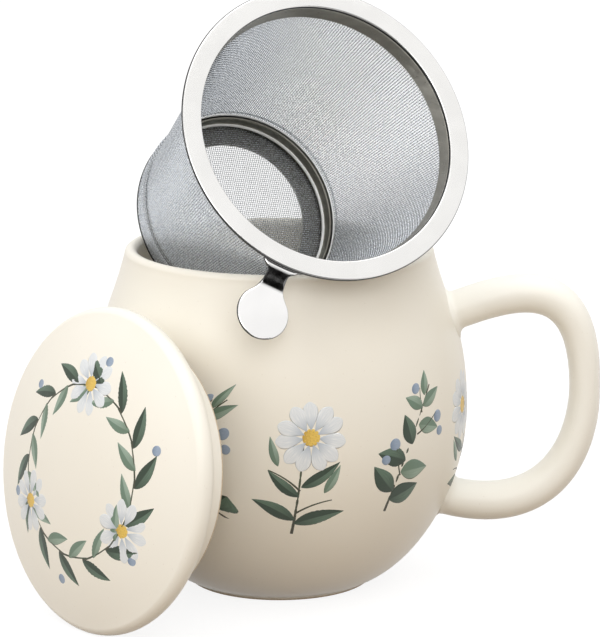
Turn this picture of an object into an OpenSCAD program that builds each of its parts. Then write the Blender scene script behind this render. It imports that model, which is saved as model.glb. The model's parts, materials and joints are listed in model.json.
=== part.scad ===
// Round-bellied tea mug with a lift-out mesh infuser and a loose domed lid.
// The infuser lies tipped across the mouth, and the lid stands on its edge against the belly.
// Millimetres and degrees. +Z is up, +X runs through the handle, and the origin is the middle
// of the mug's foot on the table.

/* [Mug] */
// Height of the mug, from the table to the top of the lip
mug_h = 96.2; // [90:0.1:104]
// Outer radius of the mouth
mouth_r = 43.5; // [41:0.1:46]
// Thickness of the rounded lip
lip_t = 3.6; // [3:0.1:5]
// Outer radius of the belly at its widest
belly_r = 53.1; // [51:0.1:57]
// Height at which the belly is widest
belly_z = 50.7; // [46:0.1:54]
// Radius of the flat foot
foot_r = 26.2; // [22:0.1:30]
// Chamfer round the edge of the foot
foot_bevel = 1; // [0.5:0.1:2]
// Thickness of the wall at the belly
wall_t = 4; // [3.4:0.1:5]
// Thickness of the floor
floor_t = 6; // [4.5:0.1:8]
// How far the wall swings outward as it leaves the foot, as a share of foot to belly
low_swing = 0.47; // [0.4:0.01:0.55]
// How full the lower half of the belly is
low_fullness = 0.49; // [0.42:0.01:0.55]
// How full the upper half of the belly is
shoulder_fullness = 0.49; // [0.42:0.01:0.55]
// How far the neck leans outward below the lip, as a share of mouth to belly
neck_lean = 0.4; // [0.3:0.01:0.5]

/* [Handle] */
// Distance from the mug's axis to the middle of the grip
grip_x = 86.5; // [80:0.1:94]
// Height of the middle of the grip above the table
grip_z = 55; // [50:0.1:60]
// Height at which the upper arm leaves the wall
arm_top_z = 76; // [73:0.1:79]
// Height at which the lower arm leaves the wall
arm_low_z = 24.8; // [22:0.1:28]
// Thickness of the handle across the arms
arm_t = 11; // [9:0.1:12]
// Thickness of the handle across the grip
grip_t = 8.7; // [7:0.1:10]
// Width of the handle, along Y
handle_w = 12.6; // [10:0.1:15]
// Pull that lifts the upper arm above the place where it leaves the wall
arm_top_rise = 6.8; // [5:0.1:9]
// Pull that dips the lower arm below the place where it meets the wall
arm_low_dip = 10.4; // [8:0.1:13]
// Swell of the handle where it runs into the wall
root_swell = 3; // [1.5:0.1:4]

/* [Lid] */
// Radius of the lid over its rounded edge
lid_r = 44.4; // [42.5:0.1:47]
// Height of the rounded edge
lid_edge_t = 6.4; // [5:0.1:8]
// Rise of the dome above the middle of the edge
dome_h = 10.5; // [8:0.1:14]
// Thickness of the lid's wall
lid_wall = 4; // [3.2:0.1:5]
// Drop of the locating ring below the edge
ring_drop = 9.4; // [7:0.1:11]
// Thickness of the locating ring
ring_t = 3.4; // [2.8:0.1:4.5]
// Clearance between the locating ring and the infuser's opening
ring_clear = 0.9; // [0.6:0.1:1.4]
// Angle by which the standing lid leans back towards the mug
lid_lean = 9.2; // [7:0.1:12]
// Direction that the lid faces, from the front towards the left
lid_turn = 50; // [42:0.5:54]
// Sideways offset of the lid from the mug's axis
lid_shift = 8; // [4:0.1:10]

/* [Infuser] */
// Distance by which the rim stays inside the mug's outer edge
rim_inset = 1.5; // [1:0.1:1.8]
// Thickness of the rim ring
rim_t = 1.1; // [0.8:0.1:1.6]
// Gap between the basket and the inside of the lip when it hangs in the mug
basket_clear = 2.4; // [2:0.1:3.5]
// Depth of the basket, from the rim's face to its base
basket_h = 71.2; // [66:0.1:73]
// Radius of the basket's side at its base
base_r = 28.1; // [26:0.1:31]
// Thickness of the mesh
mesh_t = 0.5; // [0.4:0.1:0.7]
// Openings round the side
cells_round = 24; // [16:2:24]
// Rows of openings down the side
cell_rows = 9; // [6:1:10]
// Openings across the base
base_cells = 9; // [5:2:11]
// Width of the bars between openings
bar_w = 1.8; // [1.4:0.1:2.4]
// Height of the band inside the top of the basket
collar_h = 5; // [4:0.1:7]
// Thickness of the bands and of the base ring
band_t = 0.6; // [0.5:0.1:0.9]
// Height of the base ring
base_ring_h = 6; // [5:0.1:8]
// Width of the flange that carries the base mesh
flange_w = 6.4; // [5:0.1:8]
// Width of the lap seam down the side
seam_w = 3.2; // [2.5:0.1:4]
// Thickness of the lap seam
seam_t = 0.4; // [0.3:0.1:0.5]
// Place of the lap seam round the basket, from its lowest side
seam_turn = 215; // [190:1:225]
// Rise of the opening's direction above level
infuser_tilt = 28.4; // [26:0.1:31]
// Direction that the opening faces, from the front towards the right
infuser_turn = 25.5; // [15:0.5:35]
// Sideways offset of the infuser from the mug's axis
infuser_shift = -1.2; // [-3:0.1:3]

/* [Thumb tab] */
// Place of the tab round the rim, from its lowest side
tab_turn = -31; // [-45:0.5:-25]
// Distance from the rim's edge to the middle of the round paddle
tab_reach = 13.4; // [12:0.1:18]
// Radius of the paddle
paddle_r = 7.3; // [6:0.1:8.5]
// Width of the neck
neck_w = 6; // [5:0.1:8]
// Width of the root beneath the rim
root_w = 10.6; // [9:0.1:13]
// Distance past the rim's edge over which the root narrows to the neck
root_run = 2; // [1:0.1:3]
// Thickness of the tab
tab_t = 0.9; // [0.7:0.1:1.2]
// Drop of the paddle below the root
tab_step = 2.2; // [1:0.1:3]
// Distance past the rim's edge at which the tab starts to step down
tab_bend = 0.5; // [0.3:0.1:1.5]

/* [Fits] */
// Gap between pieces that rest against each other
rest_gap = 0.2; // [0.1:0.05:0.3]

/* [Hidden] */

$fn = 96;

// Points along each curve of the mug's and lid's outlines, and round each lip or edge
curve_steps = 12;
arc_steps = 8;
// Rings along each half of the handle, and sides round it
handle_rings = 20;
handle_sides = 20;
// Reach of a cut past the piece that it goes through
cut_over = 1;
// Degrees between the places round a lip or ring at which a gap is measured
gap_step = 3;
// Moves that bring a piece to rest, each by the gap that is still left
rest_moves = 40;

cream = "#f3ead6";
cream_shade = "#efe5cf";
steel = "#c9cacc";
steel_dark = "#8d8e90";
mesh_grey = "#a8a9ab";

// A cubic curve from a to d that leaves a towards b and reaches d from c, at the share t
function curve(a, b, c, d, t) =
    pow(1 - t, 3) * a + 3 * t * pow(1 - t, 2) * b + 3 * t * t * (1 - t) * c + pow(t, 3) * d;

// The points of such a curve, both ends included
function curve_points(a, b, c, d, steps) =
    [for (i = [0:steps]) curve(a, b, c, d, i / steps)];

// The points of an arc about a centre
function arc_points(centre, r, from, to, steps) =
    [for (i = [0:steps])
        let (a = from + (to - from) * i / steps)
        centre + r * [cos(a), sin(a)]];

// Distance from the point p to the stretch from a to b
function stretch_gap(p, a, b) =
    let (
        along = b - a,
        share = max(0, min(1, (p - a) * along / (along * along)))
    )
    norm(p - a - share * along);

// ---- Mug outline, as [radius, height] pairs from the foot up ----
lip_r = lip_t / 2;
lip_z = mug_h - lip_r;
lip_mid_r = mouth_r - lip_r;
rise_low = belly_z - foot_bevel;
rise_up = lip_z - belly_z;
// Rise of the wall's first swing out of the foot, as a share of the lower half
foot_rise = 0.094;
// How far below the lip the neck still leans, as a share of the upper half
neck_drop = 0.35;
// Fullness of the lower half inside, and how far out the floor's rounded corner reaches
inner_fullness = 0.62;
floor_swing = 0.5;

outer_low = curve_points(
    [foot_r, foot_bevel],
    [foot_r + low_swing * (belly_r - foot_r), foot_bevel + foot_rise * rise_low],
    [belly_r, belly_z - low_fullness * rise_low],
    [belly_r, belly_z],
    curve_steps
);
outer_up = curve_points(
    [belly_r, belly_z],
    [belly_r, belly_z + shoulder_fullness * rise_up],
    [mouth_r + neck_lean * (belly_r - mouth_r), lip_z - neck_drop * rise_up],
    [mouth_r, lip_z],
    curve_steps
);
outer_side = concat(outer_low, [for (i = [1:curve_steps]) outer_up[i]]);

inner_belly_r = belly_r - wall_t;
inner_mouth_r = mouth_r - lip_t;
inner_up = curve_points(
    [inner_mouth_r, lip_z],
    [inner_mouth_r + neck_lean * (belly_r - mouth_r), lip_z - neck_drop * rise_up],
    [inner_belly_r, belly_z + shoulder_fullness * rise_up],
    [inner_belly_r, belly_z],
    curve_steps
);
inner_low = curve_points(
    [inner_belly_r, belly_z],
    [inner_belly_r, belly_z - inner_fullness * (belly_z - floor_t)],
    [foot_r + floor_swing * (belly_r - foot_r), floor_t],
    [foot_r - wall_t, floor_t],
    curve_steps
);

// Outer radius of the mug at the height z
wall_table = [for (p = outer_side) [p[1], p[0]]];
function wall_r(z) = lookup(z, wall_table);

module mug_envelope() {
    rotate_extrude()
        polygon(concat(
            [[0, 0], [foot_r - foot_bevel, 0]],
            outer_side,
            [[0, lip_z]]
        ));
}

module mug_body() {
    lip = arc_points([lip_mid_r, lip_z], lip_r, 0, 180, arc_steps);
    color(cream)
        rotate_extrude()
            polygon(concat(
                [[0, 0], [foot_r - foot_bevel, 0]],
                outer_side,
                [for (i = [1:arc_steps]) lip[i]],
                [for (i = [1:curve_steps]) inner_up[i]],
                [for (i = [1:curve_steps]) inner_low[i]],
                [[0, floor_t]]
            ));
}

// ---- Handle: a round-edged strap swept along two curves that meet at the grip ----
// The ends start in the middle of the wall's thickness or deeper, and are cut to the wall afterwards
arm_top = [wall_r(arm_top_z) - wall_t, arm_top_z];
arm_low = [wall_r(arm_low_z) - wall_t, arm_low_z];
// How far the arms run outward, as shares of the way to the grip
arm_top_run = 0.44;
arm_low_run = 0.75;
// How far the grip's straightness reaches up and down, as shares of the way to the arms
grip_up = 1.8;
grip_down = 0.62;
grip = [grip_x, grip_z];
handle_line = concat(
    curve_points(
        arm_top,
        [arm_top[0] + arm_top_run * (grip_x - arm_top[0]), arm_top_z + arm_top_rise],
        [grip_x, grip_z + grip_up * (arm_top_z - grip_z)],
        grip,
        handle_rings
    ),
    [for (i = [1:handle_rings]) curve(
        grip,
        [grip_x, grip_z - grip_down * (grip_z - arm_low_z)],
        [arm_low[0] + arm_low_run * (grip_x - arm_low[0]), arm_low_z - arm_low_dip],
        arm_low,
        i / handle_rings
    )]
);
handle_last = len(handle_line) - 1;

// Direction along the handle at the point i, from its neighbours
function handle_way(i) =
    let (step = handle_line[min(i + 1, handle_last)] - handle_line[max(i - 1, 0)])
    step / norm(step);

// Swell of the handle at a distance from the wall: a hollow quarter circle
function swell(gap) =
    let (d = max(0, min(root_swell, gap)))
    root_swell - sqrt(root_swell * root_swell - pow(root_swell - d, 2));

// One ring of points round the handle at the point i
function handle_ring(i) =
    let (
        p = handle_line[i],
        way = handle_way(i),
        across = [-way[1], way[0]],
        extra = swell(p[0] - wall_r(p[1])),
        half_t = (grip_t + (arm_t - grip_t) * abs(way[0])) / 2 + extra,
        half_w = handle_w / 2 + extra
    )
    [for (j = [0:handle_sides - 1])
        let (a = 360 * j / handle_sides, off = half_t * cos(a) * across)
        [p[0] + off[0], half_w * sin(a), p[1] + off[1]]];

module handle_strap() {
    points = [for (i = [0:handle_last]) each handle_ring(i)];
    sides = [for (i = [0:handle_last - 1], j = [0:handle_sides - 1])
        let (
            k = (j + 1) % handle_sides,
            a = i * handle_sides,
            b = a + handle_sides
        )
        each [[a + j, a + k, b + k], [a + j, b + k, b + j]]];
    start = [for (j = [handle_sides - 1:-1:0]) j];
    finish = [for (j = [0:handle_sides - 1]) handle_last * handle_sides + j];
    polyhedron(points, concat(sides, [start, finish]));
}

module mug_handle() {
    color(cream_shade)
        difference() {
            handle_strap();
            mug_envelope();
        }
}

// ---- Infuser sizes that follow from the mouth ----
rim_r = mouth_r - rim_inset;
basket_r = inner_mouth_r - basket_clear;
opening_r = basket_r - mesh_t - band_t;
ring_r = opening_r - ring_clear;
rim_bead = rim_t / 2;
side_h = basket_h - rim_t;
base_out_r = base_r + band_t;
taper = (basket_r - base_r) / side_h;

// Outer radius of the side at the depth h below the rim's face
function side_r(h) = basket_r - taper * (h - rim_t);

// ---- Lid: turned about its own axis, which points out of the dome ----
edge_r = lid_edge_t / 2;
lid_flat_r = lid_r - edge_r;
// Angle round the edge at which the dome runs into it
edge_join = 62;
// How far out the dome's top stays level, and where it turns down, as shares of the radius
dome_level = 0.55;
dome_turn = 0.86;
// Height of that turn above the edge, as a share of the dome
dome_ease = 0.1;
// How far out the hollow beneath the dome stays level, and where it turns down
hollow_level = 0.45;
hollow_turn = 0.8;
// Height of that turn, as a share of the hollow's
hollow_ease = 0.8;

module lid_turned() {
    hollow_h = dome_h - lid_wall;
    dome = curve_points(
        [0, dome_h],
        [dome_level * lid_r, dome_h],
        [dome_turn * lid_r, edge_r + dome_ease * dome_h],
        [lid_flat_r + edge_r * cos(edge_join), edge_r * sin(edge_join)],
        curve_steps
    );
    edge = arc_points([lid_flat_r, 0], edge_r, edge_join, -90, arc_steps);
    hollow = curve_points(
        [ring_r - ring_t, -edge_r],
        [hollow_turn * (ring_r - ring_t), hollow_ease * hollow_h],
        [hollow_level * lid_r, hollow_h],
        [0, hollow_h],
        curve_steps
    );
    rotate_extrude()
        polygon(concat(
            dome,
            [for (i = [1:arc_steps]) edge[i]],
            [[ring_r, -edge_r]],
            [for (corner = ring_corners) [corner[0], -corner[1]]],
            hollow
        ));
}

// The lid stands on its rounded edge, so its middle is this high
lid_z = lid_flat_r * cos(lid_lean) + edge_r;
lid_plan = -90 - lid_turn;
lid_facing = [cos(lid_plan), sin(lid_plan)];
lid_side = [-sin(lid_plan), cos(lid_plan)];

// The corners round the end of the locating ring, as [radius, drop below the middle of the edge]
ring_end = edge_r + ring_drop;
ring_round = ring_t / 4;
ring_corners = [
    [ring_r, ring_end - ring_round],
    [ring_r - ring_round, ring_end],
    [ring_r - ring_t + ring_round, ring_end],
    [ring_r - ring_t, ring_end - ring_round]
];

// Smallest gap between the end of the ring and the mug, with the lid's middle at a distance
function lid_gap(distance) =
    min([for (corner = ring_corners, a = [120:gap_step:240])
        let (
            down = corner[0] * cos(a),
            out = down * sin(lid_lean) - corner[1] * cos(lid_lean) + distance,
            sideways = corner[0] * sin(a) + lid_shift,
            z = lid_z - down * cos(lid_lean) - corner[1] * sin(lid_lean)
        )
        norm([out, sideways]) - wall_r(z)]);

// Distance at which the lid comes to rest, found by moving it in by the gap that is left
function lid_rest(distance, tries) =
    tries == 0 ? distance : lid_rest(distance - (lid_gap(distance) - rest_gap), tries - 1);

lid_distance = lid_rest(2 * belly_r, rest_moves);

module lid() {
    place = lid_distance * lid_facing + lid_shift * lid_side;
    color(cream)
        translate([place[0], place[1], lid_z])
            rotate([0, 90 - lid_lean, lid_plan])
                lid_turned();
}

// ---- Rest place of the infuser, in the upright plane through the mug's axis ----
// Its side lies on the front of the lip and its base ring against the back of the lip, unless
// its rim comes down on the lip first.
infuser_plan = infuser_turn - 90;
facing = [cos(infuser_tilt), sin(infuser_tilt)];
lowest = [sin(infuser_tilt), -cos(infuser_tilt)];
side_top = lowest * basket_r - facing * rim_t;
side_end = lowest * base_r - facing * basket_h;
side_way = (side_top - side_end) / norm(side_top - side_end);
side_out = [side_way[1], -side_way[0]];

// Middle of the rim's face when the side has slid along the front lip by a distance
function rim_middle(slid) =
    [lip_mid_r, lip_z] - side_top - side_out * (lip_r + rest_gap) + slid * side_way;

// The lip's middle line at the angle a, as [depth below the rim's face, distance from the basket's axis]
function lip_seen(middle, a) =
    let (
        sideways = lip_mid_r * sin(a) - infuser_shift,
        off = [lip_mid_r * cos(a) - middle[0], sideways, lip_z - middle[1]],
        depth = -(off[0] * facing[0] + off[2] * facing[1])
    )
    [depth, sqrt(max(0, off * off - depth * depth))];

// Gap between the back of the lip and the basket's side, band and base
function back_gap(slid) =
    let (middle = rim_middle(slid), corner = [basket_h, base_out_r])
    min([for (a = [90:gap_step:270])
        let (p = lip_seen(middle, a))
        min(
            stretch_gap(p, [rim_t, basket_r], corner),
            stretch_gap(p, [basket_h, 0], corner),
            stretch_gap(p, [basket_h - base_ring_h, base_out_r], corner)
        )]) - lip_r;

// Gap between the lip and the underside of the rim
function under_rim_gap(slid) =
    let (middle = rim_middle(slid))
    min([for (a = [0:gap_step:360])
        stretch_gap(lip_seen(middle, a), [rim_t, basket_r], [rim_t, rim_r])]) - lip_r;

function infuser_rest(slid, tries) =
    tries == 0 ? slid : infuser_rest(
        slid - (min(back_gap(slid), under_rim_gap(slid)) - rest_gap),
        tries - 1
    );

infuser_slid = infuser_rest(basket_h, rest_moves);
infuser_middle = rim_middle(infuser_slid);

infuser_facing = [cos(infuser_plan), sin(infuser_plan)];
infuser_side = [-sin(infuser_plan), cos(infuser_plan)];
infuser_place = infuser_middle[0] * infuser_facing + infuser_shift * infuser_side;

// Places a piece that is drawn about the basket's own axis, with the rim's face at zero
module on_infuser() {
    translate([infuser_place[0], infuser_place[1], infuser_middle[1]])
        rotate([0, 90 - infuser_tilt, infuser_plan])
            children();
}

module rim_ring() {
    bead = arc_points([rim_r - rim_bead, -rim_bead], rim_bead, 90, -90, arc_steps);
    color(steel)
        on_infuser()
            rotate_extrude()
                polygon(concat(bead, [[opening_r, -rim_t], [opening_r, 0]]));
}

// The band follows the taper of the side, and its lower end is the narrower one
module collar_band() {
    fall = taper * collar_h;
    color(steel_dark)
        on_infuser()
            rotate_extrude()
                polygon([
                    [opening_r, -rim_t],
                    [opening_r + band_t, -rim_t],
                    [opening_r + band_t - fall, -rim_t - collar_h],
                    [opening_r - fall, -rim_t - collar_h]
                ]);
}

// The side carries rows of openings between the collar and the base ring, and a bar under the seam
module side_mesh() {
    end_h = basket_h - band_t;
    color(mesh_grey)
        on_infuser()
            difference() {
                rotate_extrude()
                    polygon([
                        [basket_r, -rim_t],
                        [side_r(end_h), -end_h],
                        [side_r(end_h) - mesh_t, -end_h],
                        [basket_r - mesh_t, -rim_t]
                    ]);
                side_openings();
            }
}

module side_openings() {
    first_h = rim_t + collar_h + bar_w;
    cell_pitch = (basket_h - base_ring_h - first_h) / cell_rows;
    cell_h = cell_pitch - bar_w;
    cell_turn = 360 / cells_round;
    for (row = [0:cell_rows - 1]) {
        low_h = first_h + row * cell_pitch + cell_h;
        r = side_r(low_h - cell_h / 2);
        half_a = cell_turn / 2 - asin(bar_w / 2 / r);
        r_in = r - mesh_t - cut_over;
        r_out = r + cut_over;
        for (i = [0:cells_round - 1])
            rotate([0, 0, seam_turn + (i + 0.5) * cell_turn])
                translate([0, 0, -low_h])
                    linear_extrude(height = cell_h)
                        polygon([
                            [r_in * cos(half_a), -r_in * sin(half_a)],
                            [r_out * cos(half_a), -r_out * sin(half_a)],
                            [r_out * cos(half_a), r_out * sin(half_a)],
                            [r_in * cos(half_a), r_in * sin(half_a)]
                        ]);
    }
}

// A strip that lies on the side between the rim and the base ring
module side_seam() {
    end_h = basket_h - base_ring_h;
    color(steel)
        on_infuser()
            rotate([0, 0, seam_turn])
                intersection() {
                    rotate_extrude()
                        polygon([
                            [basket_r, -rim_t],
                            [side_r(end_h), -end_h],
                            [side_r(end_h) + seam_t, -end_h],
                            [basket_r + seam_t, -rim_t]
                        ]);
                    translate([0, -seam_w / 2, -basket_h])
                        cube([rim_r, seam_w, basket_h]);
                }
}

// An L-shaped ring: a band round the outside of the mesh and a flange beneath the base
module base_ring() {
    top_h = basket_h - base_ring_h;
    end_h = basket_h - band_t;
    color(steel)
        on_infuser()
            rotate_extrude()
                polygon([
                    [side_r(top_h), -top_h],
                    [side_r(top_h) + band_t, -top_h],
                    [base_out_r, -basket_h],
                    [base_out_r - band_t - flange_w, -basket_h],
                    [base_out_r - band_t - flange_w, -end_h],
                    [side_r(end_h), -end_h]
                ]);
}

// The band inside the foot of the side, which holds the base mesh down on the flange
module base_band() {
    top_h = basket_h - base_ring_h;
    end_h = basket_h - band_t - mesh_t;
    inside = mesh_t + band_t;
    color(steel_dark)
        on_infuser()
            rotate_extrude()
                polygon([
                    [side_r(top_h) - mesh_t, -top_h],
                    [side_r(end_h) - mesh_t, -end_h],
                    [side_r(end_h) - inside, -end_h],
                    [side_r(top_h) - inside, -top_h]
                ]);
}

// The base carries a square grid of openings, with a plain edge as wide as a bar or more
module base_mesh() {
    end_h = basket_h - band_t;
    base_mesh_r = side_r(end_h) - mesh_t;
    flange_in_r = base_out_r - band_t - flange_w;
    pitch = (2 * flange_in_r + bar_w) / base_cells;
    cell = pitch - bar_w;
    mid = (base_cells - 1) / 2;
    color(mesh_grey)
        on_infuser()
            translate([0, 0, -end_h])
                difference() {
                    cylinder(h = mesh_t, r = base_mesh_r);
                    for (i = [-mid:mid], j = [-mid:mid]) {
                        far_corner = [abs(i), abs(j)] * pitch + [cell, cell] / 2;
                        if (norm(far_corner) < base_mesh_r - bar_w)
                            translate([i * pitch - cell / 2, j * pitch - cell / 2, -cut_over])
                                cube([cell, cell, mesh_t + 2 * cut_over]);
                    }
                }
}

// The tab is a strip with a round paddle, stepped down once it has left the rim
module thumb_tab() {
    root_in = basket_r + seam_t;
    paddle_x = rim_r + tab_reach;
    neck_end = paddle_x - paddle_r;
    bend_in = rim_r + tab_bend;
    color(steel)
        on_infuser()
            rotate([0, 0, tab_turn])
                translate([0, 0, -rim_t])
                    intersection() {
                        translate([0, 0, -tab_step - tab_t - cut_over])
                            linear_extrude(height = tab_step + tab_t + 2 * cut_over)
                                tab_outline(root_in, paddle_x);
                        translate([0, paddle_r + cut_over, 0])
                            rotate([90, 0, 0])
                                linear_extrude(height = 2 * (paddle_r + cut_over))
                                    polygon([
                                        [root_in, 0],
                                        [root_in, -tab_t],
                                        [bend_in, -tab_t],
                                        [neck_end, -tab_t - tab_step],
                                        [paddle_x + paddle_r, -tab_t - tab_step],
                                        [paddle_x + paddle_r, -tab_step],
                                        [neck_end, -tab_step],
                                        [bend_in, 0]
                                    ]);
                    }
}

// Angle on the paddle, from the side that faces the rim, at which the neck has flared into it
flare_join = 48;

// Outline of the tab from above, along +X: root, neck, and a flare that runs into the round paddle
module tab_outline(root_in, paddle_x) {
    neck_in = rim_r + root_run;
    paddle_edge = arc_points([paddle_x, 0], paddle_r, 180 - flare_join, 0, 2 * curve_steps);
    join = paddle_edge[0];
    reach = join[0] - neck_in;
    flare = curve_points(
        [neck_in, neck_w / 2],
        [neck_in + reach / 2, neck_w / 2],
        join - reach / 3 * [sin(flare_join), cos(flare_join)],
        join,
        arc_steps
    );
    half = concat(
        [[root_in, root_w / 2], [rim_r, root_w / 2]],
        flare,
        [for (i = [1:2 * curve_steps]) paddle_edge[i]]
    );
    // The tip lies on the middle line, so it isn't mirrored
    polygon(concat(half, [for (i = [len(half) - 2:-1:0]) [half[i][0], -half[i][1]]]));
}

mug_body();
mug_handle();
lid();
rim_ring();
collar_band();
side_mesh();
side_seam();
base_ring();
base_band();
base_mesh();
thumb_tab();
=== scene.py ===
# %% [markdown]
# # A lidded tea mug with a mesh infuser
# The mug stands on a white table. Its infuser lies tipped across the mouth, and its lid leans
# against the belly. The construction model already holds every piece at its real size, so this
# lesson only gives the pieces their finish: smooth glazed surfaces, real woven wire, and steel
# that has been brushed or polished. Nothing is moved or resized.

# %% Load the construction model
import json
import math

import bpy
import numpy as np
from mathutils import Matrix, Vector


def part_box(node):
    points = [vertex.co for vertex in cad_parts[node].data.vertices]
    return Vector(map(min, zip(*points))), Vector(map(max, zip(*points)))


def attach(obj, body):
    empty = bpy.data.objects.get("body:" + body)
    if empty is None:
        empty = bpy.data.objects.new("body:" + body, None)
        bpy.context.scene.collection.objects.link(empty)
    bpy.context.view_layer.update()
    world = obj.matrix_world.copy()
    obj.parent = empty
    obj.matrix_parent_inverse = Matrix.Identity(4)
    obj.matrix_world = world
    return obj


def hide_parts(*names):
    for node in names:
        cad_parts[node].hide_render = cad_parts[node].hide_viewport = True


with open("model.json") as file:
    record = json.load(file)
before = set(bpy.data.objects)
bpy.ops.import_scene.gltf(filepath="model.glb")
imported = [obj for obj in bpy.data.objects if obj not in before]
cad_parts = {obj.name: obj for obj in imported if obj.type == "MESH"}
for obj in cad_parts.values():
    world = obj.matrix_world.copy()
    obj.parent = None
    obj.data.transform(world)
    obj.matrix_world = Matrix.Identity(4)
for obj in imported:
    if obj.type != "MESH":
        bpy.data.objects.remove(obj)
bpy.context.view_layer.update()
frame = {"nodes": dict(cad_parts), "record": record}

# %% [markdown]
# ## The camera
# The photograph looks a little down on the mug, from far enough away that upright lines stay
# upright. A long lens gives that look. Its focal length is written in pixels of a picture that
# is 600 wide and 637 high, and turned into millimetres of a 36 mm sensor, whose longer side is
# the picture's height.

# %% Camera
PICTURE_HEIGHT = 637
FOCAL_PIXELS = 3500
SENSOR = 36.0
LOOK_DOWN = math.radians(12.32)
DISTANCE = 0.988
AIM_X, AIM_Z = 0.0058, 0.07515

camera = bpy.data.cameras.new("camera")
camera.sensor_width = SENSOR
camera.lens = SENSOR * FOCAL_PIXELS / PICTURE_HEIGHT
camera_object = bpy.data.objects.new("camera", camera)
camera_object.location = (
    AIM_X,
    -DISTANCE * math.cos(LOOK_DOWN),
    AIM_Z + DISTANCE * math.sin(LOOK_DOWN),
)
camera_object.rotation_euler = (math.pi / 2 - LOOK_DOWN, 0, 0)
bpy.context.scene.collection.objects.link(camera_object)
bpy.context.scene.camera = camera_object
print(f"a {camera.lens:.0f} mm lens at {DISTANCE} m")

# %% [markdown]
# ## Node trees in a few words
# Every finish below is a small tree of nodes. One helper adds a node and gives each socket a
# fixed value or a link. The others are short names for what comes back again and again: mixing
# two colours, stretching a range, a noise, a bump, and the value that a point carries. An effect
# that several finishes share, such as fine scratches, is a group.

# %% Helpers for materials
MM = 0.001


def feed(tree, node, inputs):
    """Give each socket of a node its fixed value, or the link into it."""
    for socket, source in inputs.items():
        if isinstance(source, bpy.types.NodeSocket):
            tree.links.new(source, node.inputs[socket])
        else:
            node.inputs[socket].default_value = source


def add_node(tree, kind, inputs=(), **settings):
    """Add a node, set its fields, and feed its sockets."""
    node = tree.nodes.new(kind)
    for field, value in settings.items():
        setattr(node, field, value)
    feed(tree, node, dict(inputs))
    return node


def mix_colour(tree, share, first, second):
    """first where the share is 0, second where it is 1. Each is a socket or a fixed colour."""
    inputs = {0: share, 6: first, 7: second}
    return add_node(tree, "ShaderNodeMix", inputs, data_type="RGBA").outputs[2]


def combine(tree, operation, *sources, clamp=False):
    """One operation of arithmetic on sockets and fixed numbers."""
    inputs = dict(enumerate(sources))
    return add_node(
        tree, "ShaderNodeMath", inputs, operation=operation, use_clamp=clamp
    ).outputs[0]


def spread(tree, source, low, high, to_low=0.0, to_high=1.0):
    """Stretch a value that lies between low and high over another range, held at its ends."""
    inputs = {0: source, 1: low, 2: high, 3: to_low, 4: to_high}
    return add_node(tree, "ShaderNodeMapRange", inputs).outputs[0]


def noise(tree, place, scale, detail=2.0):
    """A noise over a place, with this many patches to its unit."""
    inputs = {"Vector": place, "Scale": scale, "Detail": detail}
    return add_node(tree, "ShaderNodeTexNoise", inputs).outputs["Fac"]


def bumped(tree, height, strength, distance):
    """The normal of a surface that a height raises by up to a distance."""
    inputs = {"Height": height, "Strength": strength, "Distance": distance}
    return add_node(tree, "ShaderNodeBump", inputs).outputs[0]


def mark(tree, label):
    """The value that each point carries under this name."""
    return add_node(tree, "ShaderNodeAttribute", attribute_name=label).outputs["Fac"]


def shader_group(name, inputs, outputs):
    """Start a node group with named inputs and outputs, and give its tree and its inputs."""
    tree = bpy.data.node_groups.new(name, "ShaderNodeTree")
    for label, kind, value in inputs:
        socket = tree.interface.new_socket(label, in_out="INPUT", socket_type="NodeSocket" + kind)
        if value is not None:
            socket.default_value = value
    for label, kind in outputs:
        tree.interface.new_socket(label, in_out="OUTPUT", socket_type="NodeSocket" + kind)
    return tree, tree.nodes.new("NodeGroupInput").outputs


def emptied(owner):
    """The node tree of a material or a world, with nothing in it."""
    owner.use_nodes = True
    owner.node_tree.nodes.clear()
    return owner.node_tree


def new_finish(name):
    """An empty material with its output, its Principled node and its object coordinates."""
    material = bpy.data.materials.new(name)
    tree = emptied(material)
    surface = add_node(tree, "ShaderNodeBsdfPrincipled")
    add_node(tree, "ShaderNodeOutputMaterial", {0: surface.outputs[0]})
    return material, tree, surface, add_node(tree, "ShaderNodeTexCoord").outputs["Object"]


# %% [markdown]
# ## Shapes from arrays
# A turned mug, a swept handle, a woven wire and a painted leaf have one thing in common: each is
# a row of rings. So one function makes them all. It takes an array of points with four axes: the
# copy, the ring along the copy, the place round the ring, and x, y, z. It joins each ring to the
# next, closes the ends with a cap, and turns the whole shape so that its faces point outward.

# %% From rings to a mesh
def signed_volume(points, corners):
    """A sixth of the sum, over all faces, of the first corner times the cross of two edges."""
    first = points[corners[:, 0]]
    edge_one = points[corners[:, 1]] - first
    edge_two = points[corners[:, 2]] - first
    edge_three = points[corners[:, 3]] - first
    normal = np.cross(edge_one, edge_two) + np.cross(edge_two, edge_three)
    return float((first * normal).sum() / 6)


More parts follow.
